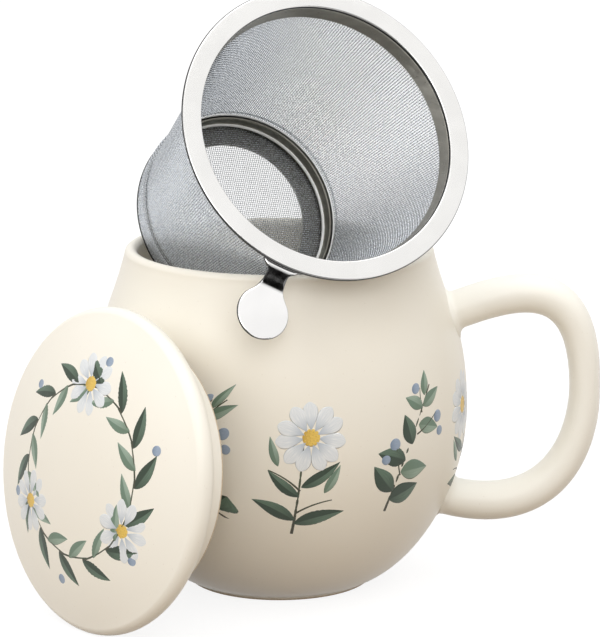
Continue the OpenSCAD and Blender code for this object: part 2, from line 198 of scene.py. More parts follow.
def ring_surface(name, rings, finish, closed=False, keep=None, marks=(), sharp=None):
    """Join each ring to the next: corners are (ring, place), (ring, place + 1) and the same two
    places of the next ring. keep says which rings are there, and marks are named values that
    each point carries for its finish."""
    copies, rows, around = rings.shape[:3]
    keep = np.ones((copies, rows), bool) if keep is None else keep
    index = np.full((copies, rows), -1)
    index[keep] = np.arange(keep.sum())
    number = index[:, :, None] * around + np.arange(around)
    number_next = np.roll(number, -1, axis=2)
    last = rows if closed else rows - 1
    above = np.roll(number, -1, axis=1)
    above_next = np.roll(number_next, -1, axis=1)
    both = (keep & np.roll(keep, -1, axis=1))[:, :last]
    quads = np.stack([number, number_next, above_next, above], axis=-1)[:, :last][both]
    quads = quads.reshape(-1, 4)
    points = rings[keep].reshape(-1, 3)
    caps = np.zeros((0, around), int)
    if not closed:
        first_row = keep.argmax(axis=1)
        last_row = rows - 1 - keep[:, ::-1].argmax(axis=1)
        there = np.flatnonzero(keep.any(axis=1))
        caps = np.concatenate([
            number[there, first_row[there]][:, ::-1],
            number[there, last_row[there]],
        ])
    if signed_volume(points - points.mean(axis=0), quads) < 0:
        quads, caps = quads[:, ::-1], caps[:, ::-1]
    corners = np.concatenate([quads.ravel(), caps.ravel()])
    sizes = np.concatenate([np.full(len(quads), 4), np.full(len(caps), around)])
    starts = np.concatenate([[0], np.cumsum(sizes)[:-1]])

    mesh = bpy.data.meshes.new(name)
    mesh.vertices.add(len(points))
    mesh.vertices.foreach_set("co", points.astype(np.float32).ravel())
    mesh.loops.add(len(corners))
    mesh.loops.foreach_set("vertex_index", corners.astype(np.int32))
    mesh.polygons.add(len(sizes))
    mesh.polygons.foreach_set("loop_start", starts.astype(np.int32))
    mesh.update(calc_edges=True)
    mesh.validate()
    mesh.shade_smooth()
    if sharp is not None:
        mesh.set_sharp_from_angle(angle=math.radians(sharp))
    for label, values in dict(marks).items():
        whole = np.broadcast_to(values, (copies, rows, around))[keep].ravel()
        attribute = mesh.attributes.new(label, "FLOAT", "POINT")
        attribute.data.foreach_set("value", whole.astype(np.float32))
    mesh.materials.append(finish)
    piece = bpy.data.objects.new(name, mesh)
    bpy.context.scene.collection.objects.link(piece)
    print(f"{name}: {len(points)} points, {len(quads) + len(caps)} faces")
    return piece


def cubic(a, b, c, d, steps):
    """Points of the cubic curve that leaves a towards b and reaches d from c."""
    t = np.linspace(0, 1, steps + 1)[:, None]
    a, b, c, d = (np.array(p, float) for p in (a, b, c, d))
    return (1 - t) ** 3 * a + 3 * t * (1 - t) ** 2 * b + 3 * t**2 * (1 - t) * c + t**3 * d


def arc(centre, radius, start, end, steps):
    """Points of a circle about a centre, from one angle to another, in degrees."""
    a = np.radians(np.linspace(start, end, steps + 1))
    return np.array(centre) + radius * np.stack([np.cos(a), np.sin(a)], axis=1)


def outline(*stretches):
    """Stretches of an outline end to end, without the points that two of them share."""
    joined = np.concatenate([np.atleast_2d(np.array(s, float)) for s in stretches])
    fresh = np.r_[True, np.linalg.norm(np.diff(joined, axis=0), axis=1) > 1e-6]
    return joined[fresh]


def turned(profile, segments=256):
    """Carry an outline of (radius, height) pairs round the z axis: x = r cos a, y = r sin a."""
    a = np.linspace(0, 2 * np.pi, segments, endpoint=False)
    r, z = profile[:, :1], profile[:, 1:]
    return np.stack([r * np.cos(a), r * np.sin(a), z + 0 * a], axis=-1)[None]


# %% [markdown]
# ## Where the lid and the infuser lie
# The lid and the infuser are turned shapes too, but they lean. A turned piece is as wide on one
# side of its axis as on the other, so the middle of its extent across the axis is the axis
# itself. That finds both of them in the construction model. Pieces are drawn upright, in
# millimetres, and then carried to their place.

# %% Axes measured on the construction model
def node_points(node):
    """The points of a construction piece, in millimetres."""
    mesh = frame["nodes"][node].data
    flat = np.zeros(len(mesh.vertices) * 3, np.float32)
    mesh.vertices.foreach_get("co", flat)
    return flat.reshape(-1, 3).astype(float) / MM


def node_middle(node):
    """The middle of a construction piece's box, in millimetres."""
    low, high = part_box(node)
    return (np.array(low) + np.array(high)) / 2 / MM


def unit(way):
    """The same direction with a length of one."""
    return np.array(way, float) / np.linalg.norm(way)


def leaning_frame(node, facing):
    """Three directions as rows (down the lean, sideways, facing), and the top of the piece on
    its own axis: the middle of its extent across, and the end of its extent along."""
    sideways = unit(np.cross([0, 0, 1], facing))
    down = np.cross(sideways, facing)
    axes = np.stack([down, sideways, facing])
    seen = node_points(node) @ axes.T
    low, high = seen.min(axis=0), seen.max(axis=0)
    top = np.array([(low[0] + high[0]) / 2, (low[1] + high[1]) / 2, high[2]]) @ axes
    return axes, top


def carried(points, axes, origin):
    """Points in metres: the origin, plus each coordinate times its own direction."""
    return (points @ axes + origin) * MM


infuser_axes, rim_face = leaning_frame(
    "rim_ring", unit(node_middle("rim_ring") - node_middle("base_mesh"))
)
joint_axes = {joint["name"]: joint["axis"] for joint in frame["record"]["behaviour"]["joints"]}
lid_axes, lid_top = leaning_frame("lid", unit(joint_axes["lid_lift_away"]))


def on_basket(points):
    """Points of the infuser, carried to where it lies."""
    return carried(points, infuser_axes, rim_face)


print("rim face at", rim_face.round(2), "facing", infuser_axes[2].round(3))
print("top of the lid at", lid_top.round(2), "facing", lid_axes[2].round(3))

# %% [markdown]
# ## Glaze
# Stoneware under a cream satin glaze isn't one flat colour. The glaze pools a shade yellower in
# places, fine specks of iron show through, and the surface undulates by a few hundredths of a
# millimetre, which breaks up the highlights. The effect is a group, because the mug, its handle
# and the lid share it. The foot ring is wiped clean of glaze before firing, so it is bare clay.

# %% The glaze's colour and surface
glaze_tree, glaze_in = shader_group(
    "glaze_variation",
    [
        ("Place", "Vector", None),
        ("Body colour", "Color", (0.86, 0.79, 0.65, 1)),
        ("Pooled colour", "Color", (0.80, 0.71, 0.55, 1)),
        ("Bare clay", "Float", 0.0),
    ],
    [("Colour", "Color"), ("Roughness", "Float"), ("Height", "Float")],
)
IRON, CLAY_DARK, CLAY_LIGHT = (0.42, 0.30, 0.17, 1), (0.60, 0.47, 0.33, 1), (0.74, 0.62, 0.46, 1)
where, bare = glaze_in["Place"], glaze_in["Bare clay"]
pooling = spread(glaze_tree, noise(glaze_tree, where, 26), 0.42, 0.72, 0.0, 0.35)
clouded = mix_colour(glaze_tree, pooling, glaze_in["Body colour"], glaze_in["Pooled colour"])
speck_cells = add_node(glaze_tree, "ShaderNodeTexVoronoi", {"Vector": where, "Scale": 420.0})
specks = spread(glaze_tree, speck_cells.outputs["Distance"], 0.03, 0.075, 0.20, 0.0)
speckled = mix_colour(glaze_tree, specks, clouded, IRON)
grain = spread(glaze_tree, noise(glaze_tree, where, 1300, 4.0), 0.35, 0.65)
grog = mix_colour(glaze_tree, grain, CLAY_DARK, CLAY_LIGHT)
satin = spread(glaze_tree, noise(glaze_tree, where, 900, 1.0), 0.3, 0.7, 0.36, 0.44)
fine_ripple, wide_ripple = noise(glaze_tree, where, 1500, 1.0), noise(glaze_tree, where, 110)
add_node(glaze_tree, "NodeGroupOutput", {
    "Colour": mix_colour(glaze_tree, bare, speckled, grog),
    "Roughness": combine(glaze_tree, "MULTIPLY_ADD", bare, 0.45, satin),
    "Height": combine(glaze_tree, "MULTIPLY_ADD", fine_ripple, 0.12, wide_ripple),
})


def glaze_finish(name, body, pooled):
    """Cream satin glaze over stoneware, in a body colour and a pooled colour."""
    material, tree, surface, place = new_finish(name)
    glaze = add_node(tree, "ShaderNodeGroup", {
        "Place": place,
        "Body colour": (*body, 1),
        "Pooled colour": (*pooled, 1),
        "Bare clay": mark(tree, "bare"),
    }, node_tree=glaze_tree).outputs
    feed(tree, surface, {
        "Base Color": glaze["Colour"],
        "Roughness": glaze["Roughness"],
        "Normal": bumped(tree, glaze["Height"], 0.35, 0.0001),
        "Coat Weight": 0.12,
        "Coat Roughness": 0.22,
    })
    return material


# One glaze: the lid and the handle get a lighter body colour than the mug, which is painted light.
mug_glaze = glaze_finish("cream_glaze_mug", (0.90, 0.865, 0.775), (0.86, 0.80, 0.68))
lid_glaze_painted_light = glaze_finish("cream_glaze_lid_painted_light", (0.94, 0.91, 0.825), (0.91, 0.865, 0.76))
handle_glaze_painted_light = glaze_finish("cream_glaze_handle_painted_light", (0.97, 0.95, 0.875), (0.94, 0.90, 0.805))
print("glazes:", mug_glaze.name, lid_glaze_painted_light.name, handle_glaze_painted_light.name)

# %% [markdown]
# ## The mug
# The mug was thrown or cast as one turned shape, so its outline is all that it takes: two cubic
# curves for the belly outside, a half circle over the lip, and two more curves inside. They are
# the construction model's own curves, with more points, so the silhouette has no corners. The
# underside is hollowed by a millimetre, which leaves a foot ring of bare clay to stand on.

# %% Mug body
MUG_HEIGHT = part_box("mug_body")[1][2] / MM
BELLY_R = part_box("mug_body")[1][0] / MM
MOUTH_R, LIP_THICKNESS, BELLY_Z = 43.5, 3.6, 50.7
FOOT_R, FOOT_BEVEL, FOOT_RING, FOOT_HOLLOW = 26.2, 1.0, 5.0, 1.0
WALL, FLOOR_THICKNESS = 4.0, 6.0
FOOT_SWING, FOOT_RISE, FULLNESS = 0.47, 0.094, 0.49
NECK_LEAN, NECK_DROP, BOWL_FULLNESS, BOWL_REACH = 0.4, 0.35, 0.62, 0.5
AXIS_HOLE = 0.3
LIP_R = LIP_THICKNESS / 2
LIP_Z = MUG_HEIGHT - LIP_R
RISE_LOW, RISE_UP = BELLY_Z - FOOT_BEVEL, LIP_Z - BELLY_Z
neck_out, neck_z = NECK_LEAN * (BELLY_R - MOUTH_R), LIP_Z - NECK_DROP * RISE_UP
shoulder_z = BELLY_Z + FULLNESS * RISE_UP

outer_side = outline(
    cubic(
        [FOOT_R, FOOT_BEVEL],
        [FOOT_R + FOOT_SWING * (BELLY_R - FOOT_R), FOOT_BEVEL + FOOT_RISE * RISE_LOW],
        [BELLY_R, BELLY_Z - FULLNESS * RISE_LOW],
        [BELLY_R, BELLY_Z],
        44,
    ),
    cubic(
        [BELLY_R, BELLY_Z],
        [BELLY_R, shoulder_z],
        [MOUTH_R + neck_out, neck_z],
        [MOUTH_R, LIP_Z],
        40,
    ),
)
inner_mouth, inner_belly = MOUTH_R - LIP_THICKNESS, BELLY_R - WALL
inner_side = outline(
    cubic(
        [inner_mouth, LIP_Z],
        [inner_mouth + neck_out, neck_z],
        [inner_belly, shoulder_z],
        [inner_belly, BELLY_Z],
        32,
    ),
    cubic(
        [inner_belly, BELLY_Z],
        [inner_belly, BELLY_Z - BOWL_FULLNESS * (BELLY_Z - FLOOR_THICKNESS)],
        [FOOT_R + BOWL_REACH * (BELLY_R - FOOT_R), FLOOR_THICKNESS],
        [FOOT_R - WALL, FLOOR_THICKNESS],
        36,
    ),
)
hollow_r = FOOT_R - FOOT_RING
mug_profile = outline(
    [[AXIS_HOLE, FOOT_HOLLOW], [hollow_r / 2, FOOT_HOLLOW], [hollow_r - 1.0, FOOT_HOLLOW]],
    cubic(
        [hollow_r - 1, FOOT_HOLLOW], [hollow_r, FOOT_HOLLOW], [hollow_r, 0], [hollow_r + 1, 0], 8
    ),
    [[hollow_r + 2, 0], [FOOT_R - FOOT_BEVEL, 0]],
    arc([FOOT_R - FOOT_BEVEL, FOOT_BEVEL], FOOT_BEVEL, -90, 0, 8),
    outer_side,
    arc([MOUTH_R - LIP_R, LIP_Z], LIP_R, 0, 180, 24),
    inner_side,
    [[hollow_r / 2, FLOOR_THICKNESS], [AXIS_HOLE, FLOOR_THICKNESS]],
)
on_foot_ring = (mug_profile[:, 1] < 0.75 * FOOT_BEVEL) & (mug_profile[:, 0] > hollow_r)
mug_body = ring_surface(
    "mug_body_glazed",
    turned(mug_profile) * MM,
    mug_glaze,
    marks={"bare": on_foot_ring[None, :, None].astype(float)},
)

# %% [markdown]
# ## The handle
# A potter pulls a strap, bends it, and smooths its ends into the wall with a wet finger. Here an
# oval section is carried along the construction model's two curves. Near the wall each point of
# the section swells outward by a hollow quarter circle of its own distance to the wall, so the
# handle flows into the belly on every side, also where the arm meets it at a slant.

# %% Handle
GRIP_X, GRIP_Z, ARM_TOP_Z, ARM_LOW_Z = 86.5, 55.0, 76.0, 24.8
ARM_THICKNESS, GRIP_THICKNESS, HANDLE_WIDTH = 11.0, 8.7, 12.6
FILLET_OUTSIDE, FILLET_INSIDE, ROOT_DEPTH = 1.6, 2.4, 2.0
TOP_RUN, TOP_RISE, TOP_PULL = 0.44, 6.8, 1.8
LOW_RUN, LOW_DROP, LOW_PULL = 0.75, 10.4, 0.62
HANDLE_RINGS, HANDLE_SIDES = 90, 48


def wall_radius(z):
    """Outer radius of the mug at a height."""
    return np.interp(z, outer_side[:, 1], outer_side[:, 0])


def fillet(gap, radius):
    """A hollow quarter circle: the radius less the root of radius^2 - (radius - gap)^2."""
    near = radius - np.clip(gap, 0, radius)
    return radius - np.sqrt(radius**2 - near**2)


top_root = [wall_radius(ARM_TOP_Z) - WALL, ARM_TOP_Z]
low_root = [wall_radius(ARM_LOW_Z) - WALL, ARM_LOW_Z]
handle_line = outline(
    cubic(
        top_root,
        [top_root[0] + TOP_RUN * (GRIP_X - top_root[0]), ARM_TOP_Z + TOP_RISE],
        [GRIP_X, GRIP_Z + TOP_PULL * (ARM_TOP_Z - GRIP_Z)],
        [GRIP_X, GRIP_Z],
        HANDLE_RINGS,
    ),
    cubic(
        [GRIP_X, GRIP_Z],
        [GRIP_X, GRIP_Z - LOW_PULL * (GRIP_Z - ARM_LOW_Z)],
        [low_root[0] + LOW_RUN * (GRIP_X - low_root[0]), ARM_LOW_Z - LOW_DROP],
        low_root,
        HANDLE_RINGS,
    ),
)
inside_wall = handle_line[:, 0] < wall_radius(handle_line[:, 1]) - ROOT_DEPTH
handle_line = handle_line[~inside_wall]
way = np.gradient(handle_line, axis=0)
way /= np.linalg.norm(way, axis=1, keepdims=True)
turn = np.linspace(0, 2 * np.pi, HANDLE_SIDES, endpoint=False)
half_thickness = (GRIP_THICKNESS + (ARM_THICKNESS - GRIP_THICKNESS) * np.abs(way[:, 0])) / 2
outward = np.stack(
    [-way[:, 1:] * np.cos(turn), np.sin(turn) + 0 * way[:, :1], way[:, :1] * np.cos(turn)], axis=-1
)
middle = np.stack([handle_line[:, 0], 0 * handle_line[:, 0], handle_line[:, 1]], axis=-1)[:, None]
section = outward * np.stack(
    [half_thickness, np.full_like(half_thickness, HANDLE_WIDTH / 2), half_thickness], axis=-1
)[:, None]
strap = middle + section
from_wall = np.hypot(strap[..., 0], strap[..., 1]) - wall_radius(strap[..., 2])
fillet_r = FILLET_OUTSIDE + (FILLET_INSIDE - FILLET_OUTSIDE) * (1 - np.cos(turn)) / 2
strap += outward * fillet(from_wall, fillet_r)[..., None]
from_axis = np.hypot(strap[..., 0], strap[..., 1])
kept_radius = np.maximum(from_axis, wall_radius(strap[..., 2]) - ROOT_DEPTH)
strap[..., :2] *= (kept_radius / from_axis)[..., None]
mug_handle = ring_surface("mug_handle_glazed", strap[None] * MM, handle_glaze_painted_light)

# %% [markdown]
# ## The lid
# A low dome with a rounded edge, and a ring beneath it that sits inside the infuser's rim. It is
# turned like the mug, and then carried to where it leans against the belly.

# %% Lid
LID_R, LID_EDGE, DOME_H, LID_WALL = 44.4, 6.4, 10.5, 4.0
RING_DROP, RING_THICKNESS, RING_R = 9.4, 3.4, 35.5
EDGE_R = LID_EDGE / 2
LID_FLAT_R = LID_R - EDGE_R
JOIN, RING_FILLET = 62.0, 1.0
DOME_FLAT, DOME_FALL, DOME_LIFT = 0.55, 0.86, 0.1
HOLLOW_SWING, HOLLOW_FLAT = 0.8, 0.45

dome = cubic(
    [AXIS_HOLE, DOME_H],
    [DOME_FLAT * LID_R, DOME_H],
    [DOME_FALL * LID_R, EDGE_R + DOME_LIFT * DOME_H],
    [LID_FLAT_R + EDGE_R * math.cos(math.radians(JOIN)), EDGE_R * math.sin(math.radians(JOIN))],
    56,
)
ring_end = EDGE_R + RING_DROP
corner_r = RING_THICKNESS / 3
ring_inner = RING_R - RING_THICKNESS
hollow_h = DOME_H - LID_WALL
lid_profile = outline(
    dome,
    arc([LID_FLAT_R, 0], EDGE_R, JOIN, -90, 30),
    arc([RING_R + RING_FILLET, -EDGE_R - RING_FILLET], RING_FILLET, 90, 180, 6),
    arc([RING_R - corner_r, corner_r - ring_end], corner_r, 0, -90, 6),
    arc([ring_inner + corner_r, corner_r - ring_end], corner_r, -90, -180, 6),
    cubic(
        [ring_inner, -EDGE_R],
        [HOLLOW_SWING * ring_inner, HOLLOW_SWING * hollow_h],
        [HOLLOW_FLAT * LID_R, hollow_h],
        [AXIS_HOLE, hollow_h],
        40,
    ),
)
lid_origin = lid_top - DOME_H * lid_axes[2]
on_ring_end = lid_profile[:, 1] < corner_r * 0.8 - ring_end
lid = ring_surface(
    "lid_glazed",
    carried(turned(lid_profile), lid_axes, lid_origin),
    lid_glaze_painted_light,
    marks={"bare": on_ring_end[None, :, None].astype(float)},
)

# %% [markdown]
# ## Steel
# All of the infuser is stainless steel, but it has been worked in different ways: the rim and the
# tab are polished, the bands are brushed by the rolls, and the wire is drawn. One group gives
# fine scratches and a faint mottle, and each finish stretches it its own way, so that scratches
# run round a ring or along a tab. Where a piece carries its painted mark, a finish takes a second
# tone: a painted dark reflection on the thin edges of rim and tab and on the tab's neck, and
# painted light on the outer wall of the base ring. The base ring and the base band are steel
# painted darker, as painted shade, and the rolled edge is painted near black, a painted dark
# reflection. The round wires are a light, bluish steel and the lengthwise wires a dark one:
# painted light and painted shade, which make the weave show as a chessboard. They and the bead
# are less than fully metallic, for the look.

# %% Steel finishes
scratch_tree, scratch_in = shader_group(
    "fine_scratches",
    [("Place", "Vector", None), ("Low roughness", "Float", 0.1), ("High roughness", "Float", 0.3)],
    [("Roughness", "Float"), ("Height", "Float"), ("Mottle", "Float")],
)
scratches = noise(scratch_tree, scratch_in["Place"], 1.0, 3.0)
add_node(scratch_tree, "NodeGroupOutput", {
    "Roughness": spread(
        scratch_tree, scratches, 0.3, 0.7, scratch_in["Low roughness"], scratch_in["High roughness"]
    ),
    "Height": scratches,
    "Mottle": noise(scratch_tree, scratch_in["Place"], 0.12),
})


def steel_finish(
    name, light, dark, roughness, stretch, depth, painted_tone=None, metal=1.0, variation="Mottle"
):
    """Stainless steel between two greys, with scratches stretched over the piece's own place.
    The seventh argument is a painted tone, painted reflection or painted light, that it takes where
    the piece carries its painted mark."""
    material, tree, surface, place = new_finish(name)
    scaled = add_node(tree, "ShaderNodeMapping", {"Vector": place, "Scale": stretch})
    worn = add_node(tree, "ShaderNodeGroup", {
        "Place": scaled.outputs[0],
        "Low roughness": roughness[0],
        "High roughness": roughness[1],
    }, node_tree=scratch_tree).outputs
    mottle = spread(tree, worn[variation], 0.40, 0.60)
    colour = mix_colour(tree, mottle, (*dark, 1), (*light, 1))
    if painted_tone:
        colour = mix_colour(tree, mark(tree, "painted_light_and_shade"), colour, (*painted_tone, 1))
    feed(tree, surface, {
        "Base Color": colour,
        "Roughness": worn["Roughness"],
        "Normal": bumped(tree, worn["Height"], 0.5, depth),
        "Metallic": metal,
    })
    return material


# Painted tones for steel: a painted dark reflection on thin edges, and painted light on a wall.
EDGE_PAINTED_DARK, WALL_PAINTED_LIGHT = (0.05, 0.05, 0.05), (0.92, 0.92, 0.90)
EVEN, ROLLED, DRAWN = (900, 900, 900), (700, 700, 2600), (2600, 2600, 2600)
rim_steel = steel_finish(
    "polished_steel_rim", (0.90, 0.89, 0.87), (0.87, 0.86, 0.84), (0.14, 0.22), EVEN, 4e-6,
    EDGE_PAINTED_DARK,
)
band_steel = steel_finish(
    "brushed_steel_bands", (0.56, 0.54, 0.48), (0.47, 0.45, 0.40), (0.26, 0.46), ROLLED, 2e-5
)
# The base ring and the base band: steel painted darker, as painted shade inside the basket.
painted_shade_steel = steel_finish(
    "pressed_steel_painted_shade", (0.30, 0.29, 0.25), (0.25, 0.24, 0.205), (0.30, 0.50), ROLLED, 2e-5,
    WALL_PAINTED_LIGHT,
)
tab_steel = steel_finish(
    "polished_steel_tab", (0.95, 0.94, 0.93), (0.90, 0.89, 0.88), (0.10, 0.20), (600, 600, 600),
    4e-6, EDGE_PAINTED_DARK,
)
# One steel wire: round wires painted light with a bluish cast, lengthwise wires painted shade.
wire_painted_light = steel_finish(
    "woven_steel_painted_light", (0.95, 0.98, 1.0), (0.72, 0.76, 0.82), (0.20, 0.34), DRAWN, 1e-5,
    metal=0.85, variation="Height",
)
wire_painted_shade = steel_finish(
    "woven_steel_painted_shade", (0.38, 0.40, 0.44), (0.17, 0.18, 0.19), (0.24, 0.40), DRAWN, 1e-5,
    metal=0.85, variation="Height",
)
bead_steel = steel_finish(
    "satin_steel_bead", (0.95, 0.95, 0.93), (0.90, 0.90, 0.87), (0.42, 0.55), EVEN, 1e-5, metal=0.35
)
# The rolled edge is painted near black, a painted dark reflection.
painted_black_edge_steel = steel_finish(
    "rolled_steel_edge_painted_dark", (0.06, 0.06, 0.06), (0.04, 0.04, 0.04), (0.30, 0.40), EVEN, 1e-5
)
print("steels:", [m.name for m in bpy.data.materials if "steel" in m.name])

# %% [markdown]
# ## The rim ring and its bands
# The rim is stamped from sheet: a flat ring with a rounded outer edge and a soft turn into the
# opening. A collar band inside the top of the basket grips the mesh, and it is spot welded, which
# leaves a row of shallow round dents. Seen from inside the basket they are hollows, because the
# band's radius grows by a small bell curve round each weld.

# %% Rim ring and collar band
RIM_INSET, RIM_T, MESH_T, BAND_T = 1.5, 1.1, 0.5, 0.6
RIM_R = MOUTH_R - RIM_INSET
BASKET_CLEAR, COLLAR_H, BASKET_H, BASE_R = 2.4, 5.0, 71.2, 28.1
BASE_RING_H, FLANGE_W = 6.0, 6.4
BASKET_R = inner_mouth - BASKET_CLEAR
OPENING_R = BASKET_R - MESH_T - BAND_T
TAPER = (BASKET_R - BASE_R) / (BASKET_H - RIM_T)
RIM_BEAD, RIM_TURN = RIM_T / 2, 0.5
RIM_SHOULDER, RIM_CROWN = 2.2, 0.04
END_GAP = 0.05


def side_radius(depth):
    """Outer radius of the mesh at a depth below the rim's face."""
    return BASKET_R - TAPER * (depth - RIM_T)


def basket_ring(name, rings, finish, **settings):
    """A ring of the infuser whose outline closes on itself, carried to where it lies."""
    return ring_surface(name, on_basket(rings), finish, closed=True, **settings)


rim_profile = outline(
    arc([OPENING_R + RIM_TURN, -RIM_TURN], RIM_TURN, 180, 90, 8),
    [[OPENING_R + RIM_SHOULDER, RIM_CROWN], [RIM_R - RIM_SHOULDER, RIM_CROWN]],
    arc([RIM_R - RIM_BEAD, -RIM_BEAD], RIM_BEAD, 90, -90, 16),
    [[OPENING_R, -RIM_T]],
)
# Painted dark reflection on the rim's outer bead and on its turn into the opening.
rim_edge_painted_dark = np.clip((rim_profile[:, 0] - RIM_R + 0.6 * RIM_BEAD) / (0.3 * RIM_BEAD), 0, 1)
rim_edge_painted_dark += np.clip((OPENING_R + 0.4 * RIM_TURN - rim_profile[:, 0]) / (0.2 * RIM_TURN), 0, 1)
rim_ring = basket_ring(
    "rim_ring_rolled", turned(rim_profile), rim_steel,
    marks={"painted_light_and_shade": rim_edge_painted_dark[None, :, None]}, sharp=50,
)

WELD_R, WELD_DEPTH, COLLAR_WELDS = 0.8, 0.06, 36


def rounded(corners, radius, steps=5):
    """Round each corner of a closed outline with a quadratic curve between two points that lie
    at the radius from it, or at 0.45 of the shorter side."""
    p = np.array(corners, float)
    before, after = np.roll(p, 1, axis=0) - p, np.roll(p, -1, axis=0) - p
    reach_before = np.linalg.norm(before, axis=1, keepdims=True)
    reach_after = np.linalg.norm(after, axis=1, keepdims=True)
    r = np.minimum(radius, 0.45 * np.minimum(reach_before, reach_after))
    start, end = p + before / reach_before * r, p + after / reach_after * r
    t = np.linspace(0, 1, steps + 1)[None, :, None]
    bend = (1 - t) ** 2 * start[:, None] + 2 * t * (1 - t) * p[:, None] + t**2 * end[:, None]
    return bend.reshape(-1, 2)


def strip(start, way):
    """Corners of a thin strip: steps from its start along a way, and back a band's thickness
    further in."""
    outer = np.array([start]) + np.linspace(0, 1, 9)[:, None] * way
    return np.concatenate([outer, outer[::-1] - [BAND_T, 0]])


def welded_band(corners, welds, weld_height):
    """A turned band with welds. Its radius grows by a bell curve, depth times e to the minus
    (distance over size) squared, round each weld."""
    grid = turned(rounded(corners, 0.25, 3), 720)
    a = np.arctan2(grid[..., 1], grid[..., 0])
    r = np.hypot(grid[..., 0], grid[..., 1])
    step = 2 * np.pi / welds
    along = (np.mod(a + step / 2, step) - step / 2) * r
    up = grid[..., 2] - weld_height
    dent = WELD_DEPTH * np.exp(-(along**2 + up**2) / WELD_R**2)
    grid[..., :2] *= ((r + dent) / r)[..., None]
    return grid


collar = strip([OPENING_R + BAND_T, -RIM_T], [-TAPER * COLLAR_H, -COLLAR_H])
collar_band = basket_ring(
    "collar_band_welded", welded_band(collar, COLLAR_WELDS, -RIM_T - COLLAR_H / 2), band_steel
)

# %% [markdown]
# ## Woven wire
# The basket is woven from wire a little over two tenths of a millimetre thick, about fifteen to
# the centimetre. A picture of a weave on a plain cone would look flat from the side and would
# never let light through, so the wires are real. Round wires and lengthwise wires pass over and
# under each other: at each crossing one is moved outward by half a wire and the other inward, and
# the sign alternates like a chessboard. A wire is a three-sided tube with one ring at each
# crossing. Near the base the weave swings outward, to pass over the outside of the base ring.

# %% Side of the basket
WIRE, WIRE_SIDES, HOOPS, UPRIGHTS, FOLD_RUN = 0.22, 3, 104, 304, 3.0
PLUMP = 0.56
tube_turn = np.linspace(0, 2 * np.pi, WIRE_SIDES, endpoint=False)


def chessboard(rows, columns):
    """1 and -1 by turns, along both ways of a grid."""
    return np.where((np.arange(rows)[:, None] + np.arange(columns)) % 2 == 0, 1.0, -1.0)


mesh_top, mesh_end = RIM_T + END_GAP, BASKET_H - BAND_T - END_GAP
hoop_depth = np.linspace(mesh_top + WIRE, mesh_end - WIRE, HOOPS)
upright_angle = 2 * np.pi * np.arange(UPRIGHTS) / UPRIGHTS
over = chessboard(HOOPS, UPRIGHTS)
fold = np.clip((hoop_depth - (BASKET_H - BASE_RING_H)) / FOLD_RUN + 1, 0, 1)
fold = fold**2 * (3 - 2 * fold)
mid_radius = side_radius(hoop_depth) - MESH_T / 2 + fold * (BAND_T + MESH_T)
radial = np.stack([np.cos(upright_angle), np.sin(upright_angle), 0 * upright_angle], axis=-1)
tangent = np.stack([-np.sin(upright_angle), np.cos(upright_angle), 0 * upright_angle], axis=-1)
axial = np.array([0.0, 0.0, 1.0])


def tube_rings(centres, radius, one_way, other_way):
    """Rings of a tube: the centre plus its radius times cos a one way and sin a the other."""
    return (
        centres[..., None, :]
        + radius * np.cos(tube_turn)[:, None] * one_way[..., None, :]
        + radius * np.sin(tube_turn)[:, None] * other_way[..., None, :]
    )


everywhere = np.zeros((HOOPS, UPRIGHTS, 3))
woven_side = []
# Hoops take the painted light wire finish, uprights the painted shade one.
for sort, outward_by, other_way, wire in (
    ("hoops", over * WIRE / 2, axial, wire_painted_light),
    ("uprights", -over * WIRE / 2, tangent, wire_painted_shade),
):
    centres = (mid_radius[:, None] + outward_by)[..., None] * radial
    centres = centres - hoop_depth[:, None, None] * axial
    rings = tube_rings(centres, PLUMP * WIRE, radial + everywhere, other_way + everywhere)
    if sort == "uprights":
        rings = rings.transpose(1, 0, 2, 3)
    half = len(rings) // 2
    for part, chosen in (("one", slice(0, half)), ("two", slice(half, None))):
        woven_side.append(ring_surface(
            f"side_{sort}_{part}", on_basket(rings[chosen]), wire, closed=sort == "hoops"
        ))

# %% [markdown]
# ## The base
# A disc of finer wire in the same weave closes the basket. It lies on the flange of the base
# ring, and only the crossings within the disc are kept. A welded band inside holds it down, with
# a polished bead round it, and a thin rolled edge runs round the outside of the base ring.

# %% Base of the basket
base_depth = BASKET_H - BAND_T - MESH_T / 2
BASE_PITCH, BASE_WIRE = 0.6, 0.16
disc_r = side_radius(BASKET_H - BAND_T) - MESH_T - BASE_WIRE
base_count = 2 * int(disc_r / BASE_PITCH) + 1
line = (np.arange(base_count) - base_count // 2) * BASE_PITCH
line_x, line_y = np.meshgrid(line, line, indexing="ij")
base_over = chessboard(base_count, base_count) * BASE_WIRE / 2
within = np.hypot(line_x, line_y) < disc_r
ways = np.broadcast_to(np.eye(3)[:, None, None], (3, base_count, base_count, 3))
woven_base = []
# Across wires take the painted light wire finish, along wires the painted shade one.
for sort, height, way, wire in (
    ("across", -base_depth + base_over, ways[0], wire_painted_light),
    ("along", -base_depth - base_over, ways[1], wire_painted_shade),
):
    centres = np.stack([line_x, line_y, height], axis=-1)
    rings, there = tube_rings(centres, PLUMP * BASE_WIRE, way, ways[2]), within
    if sort == "along":
        rings, there = rings.transpose(1, 0, 2, 3), within.T
    woven_base.append(ring_surface(f"base_wires_{sort}", on_basket(rings), wire, keep=there))

base_out_r = BASE_R + BAND_T
ring_top, flange_top = BASKET_H - BASE_RING_H, BASKET_H - BAND_T
flange_in = base_out_r - BAND_T - FLANGE_W
base_ring_profile = rounded([
    [side_radius(ring_top), -ring_top],
    [side_radius(ring_top) + BAND_T, -ring_top],
    [base_out_r, -BASKET_H],
    [flange_in, -BASKET_H],
    [flange_in, -flange_top],
    [side_radius(flange_top), -flange_top],
], 0.5)
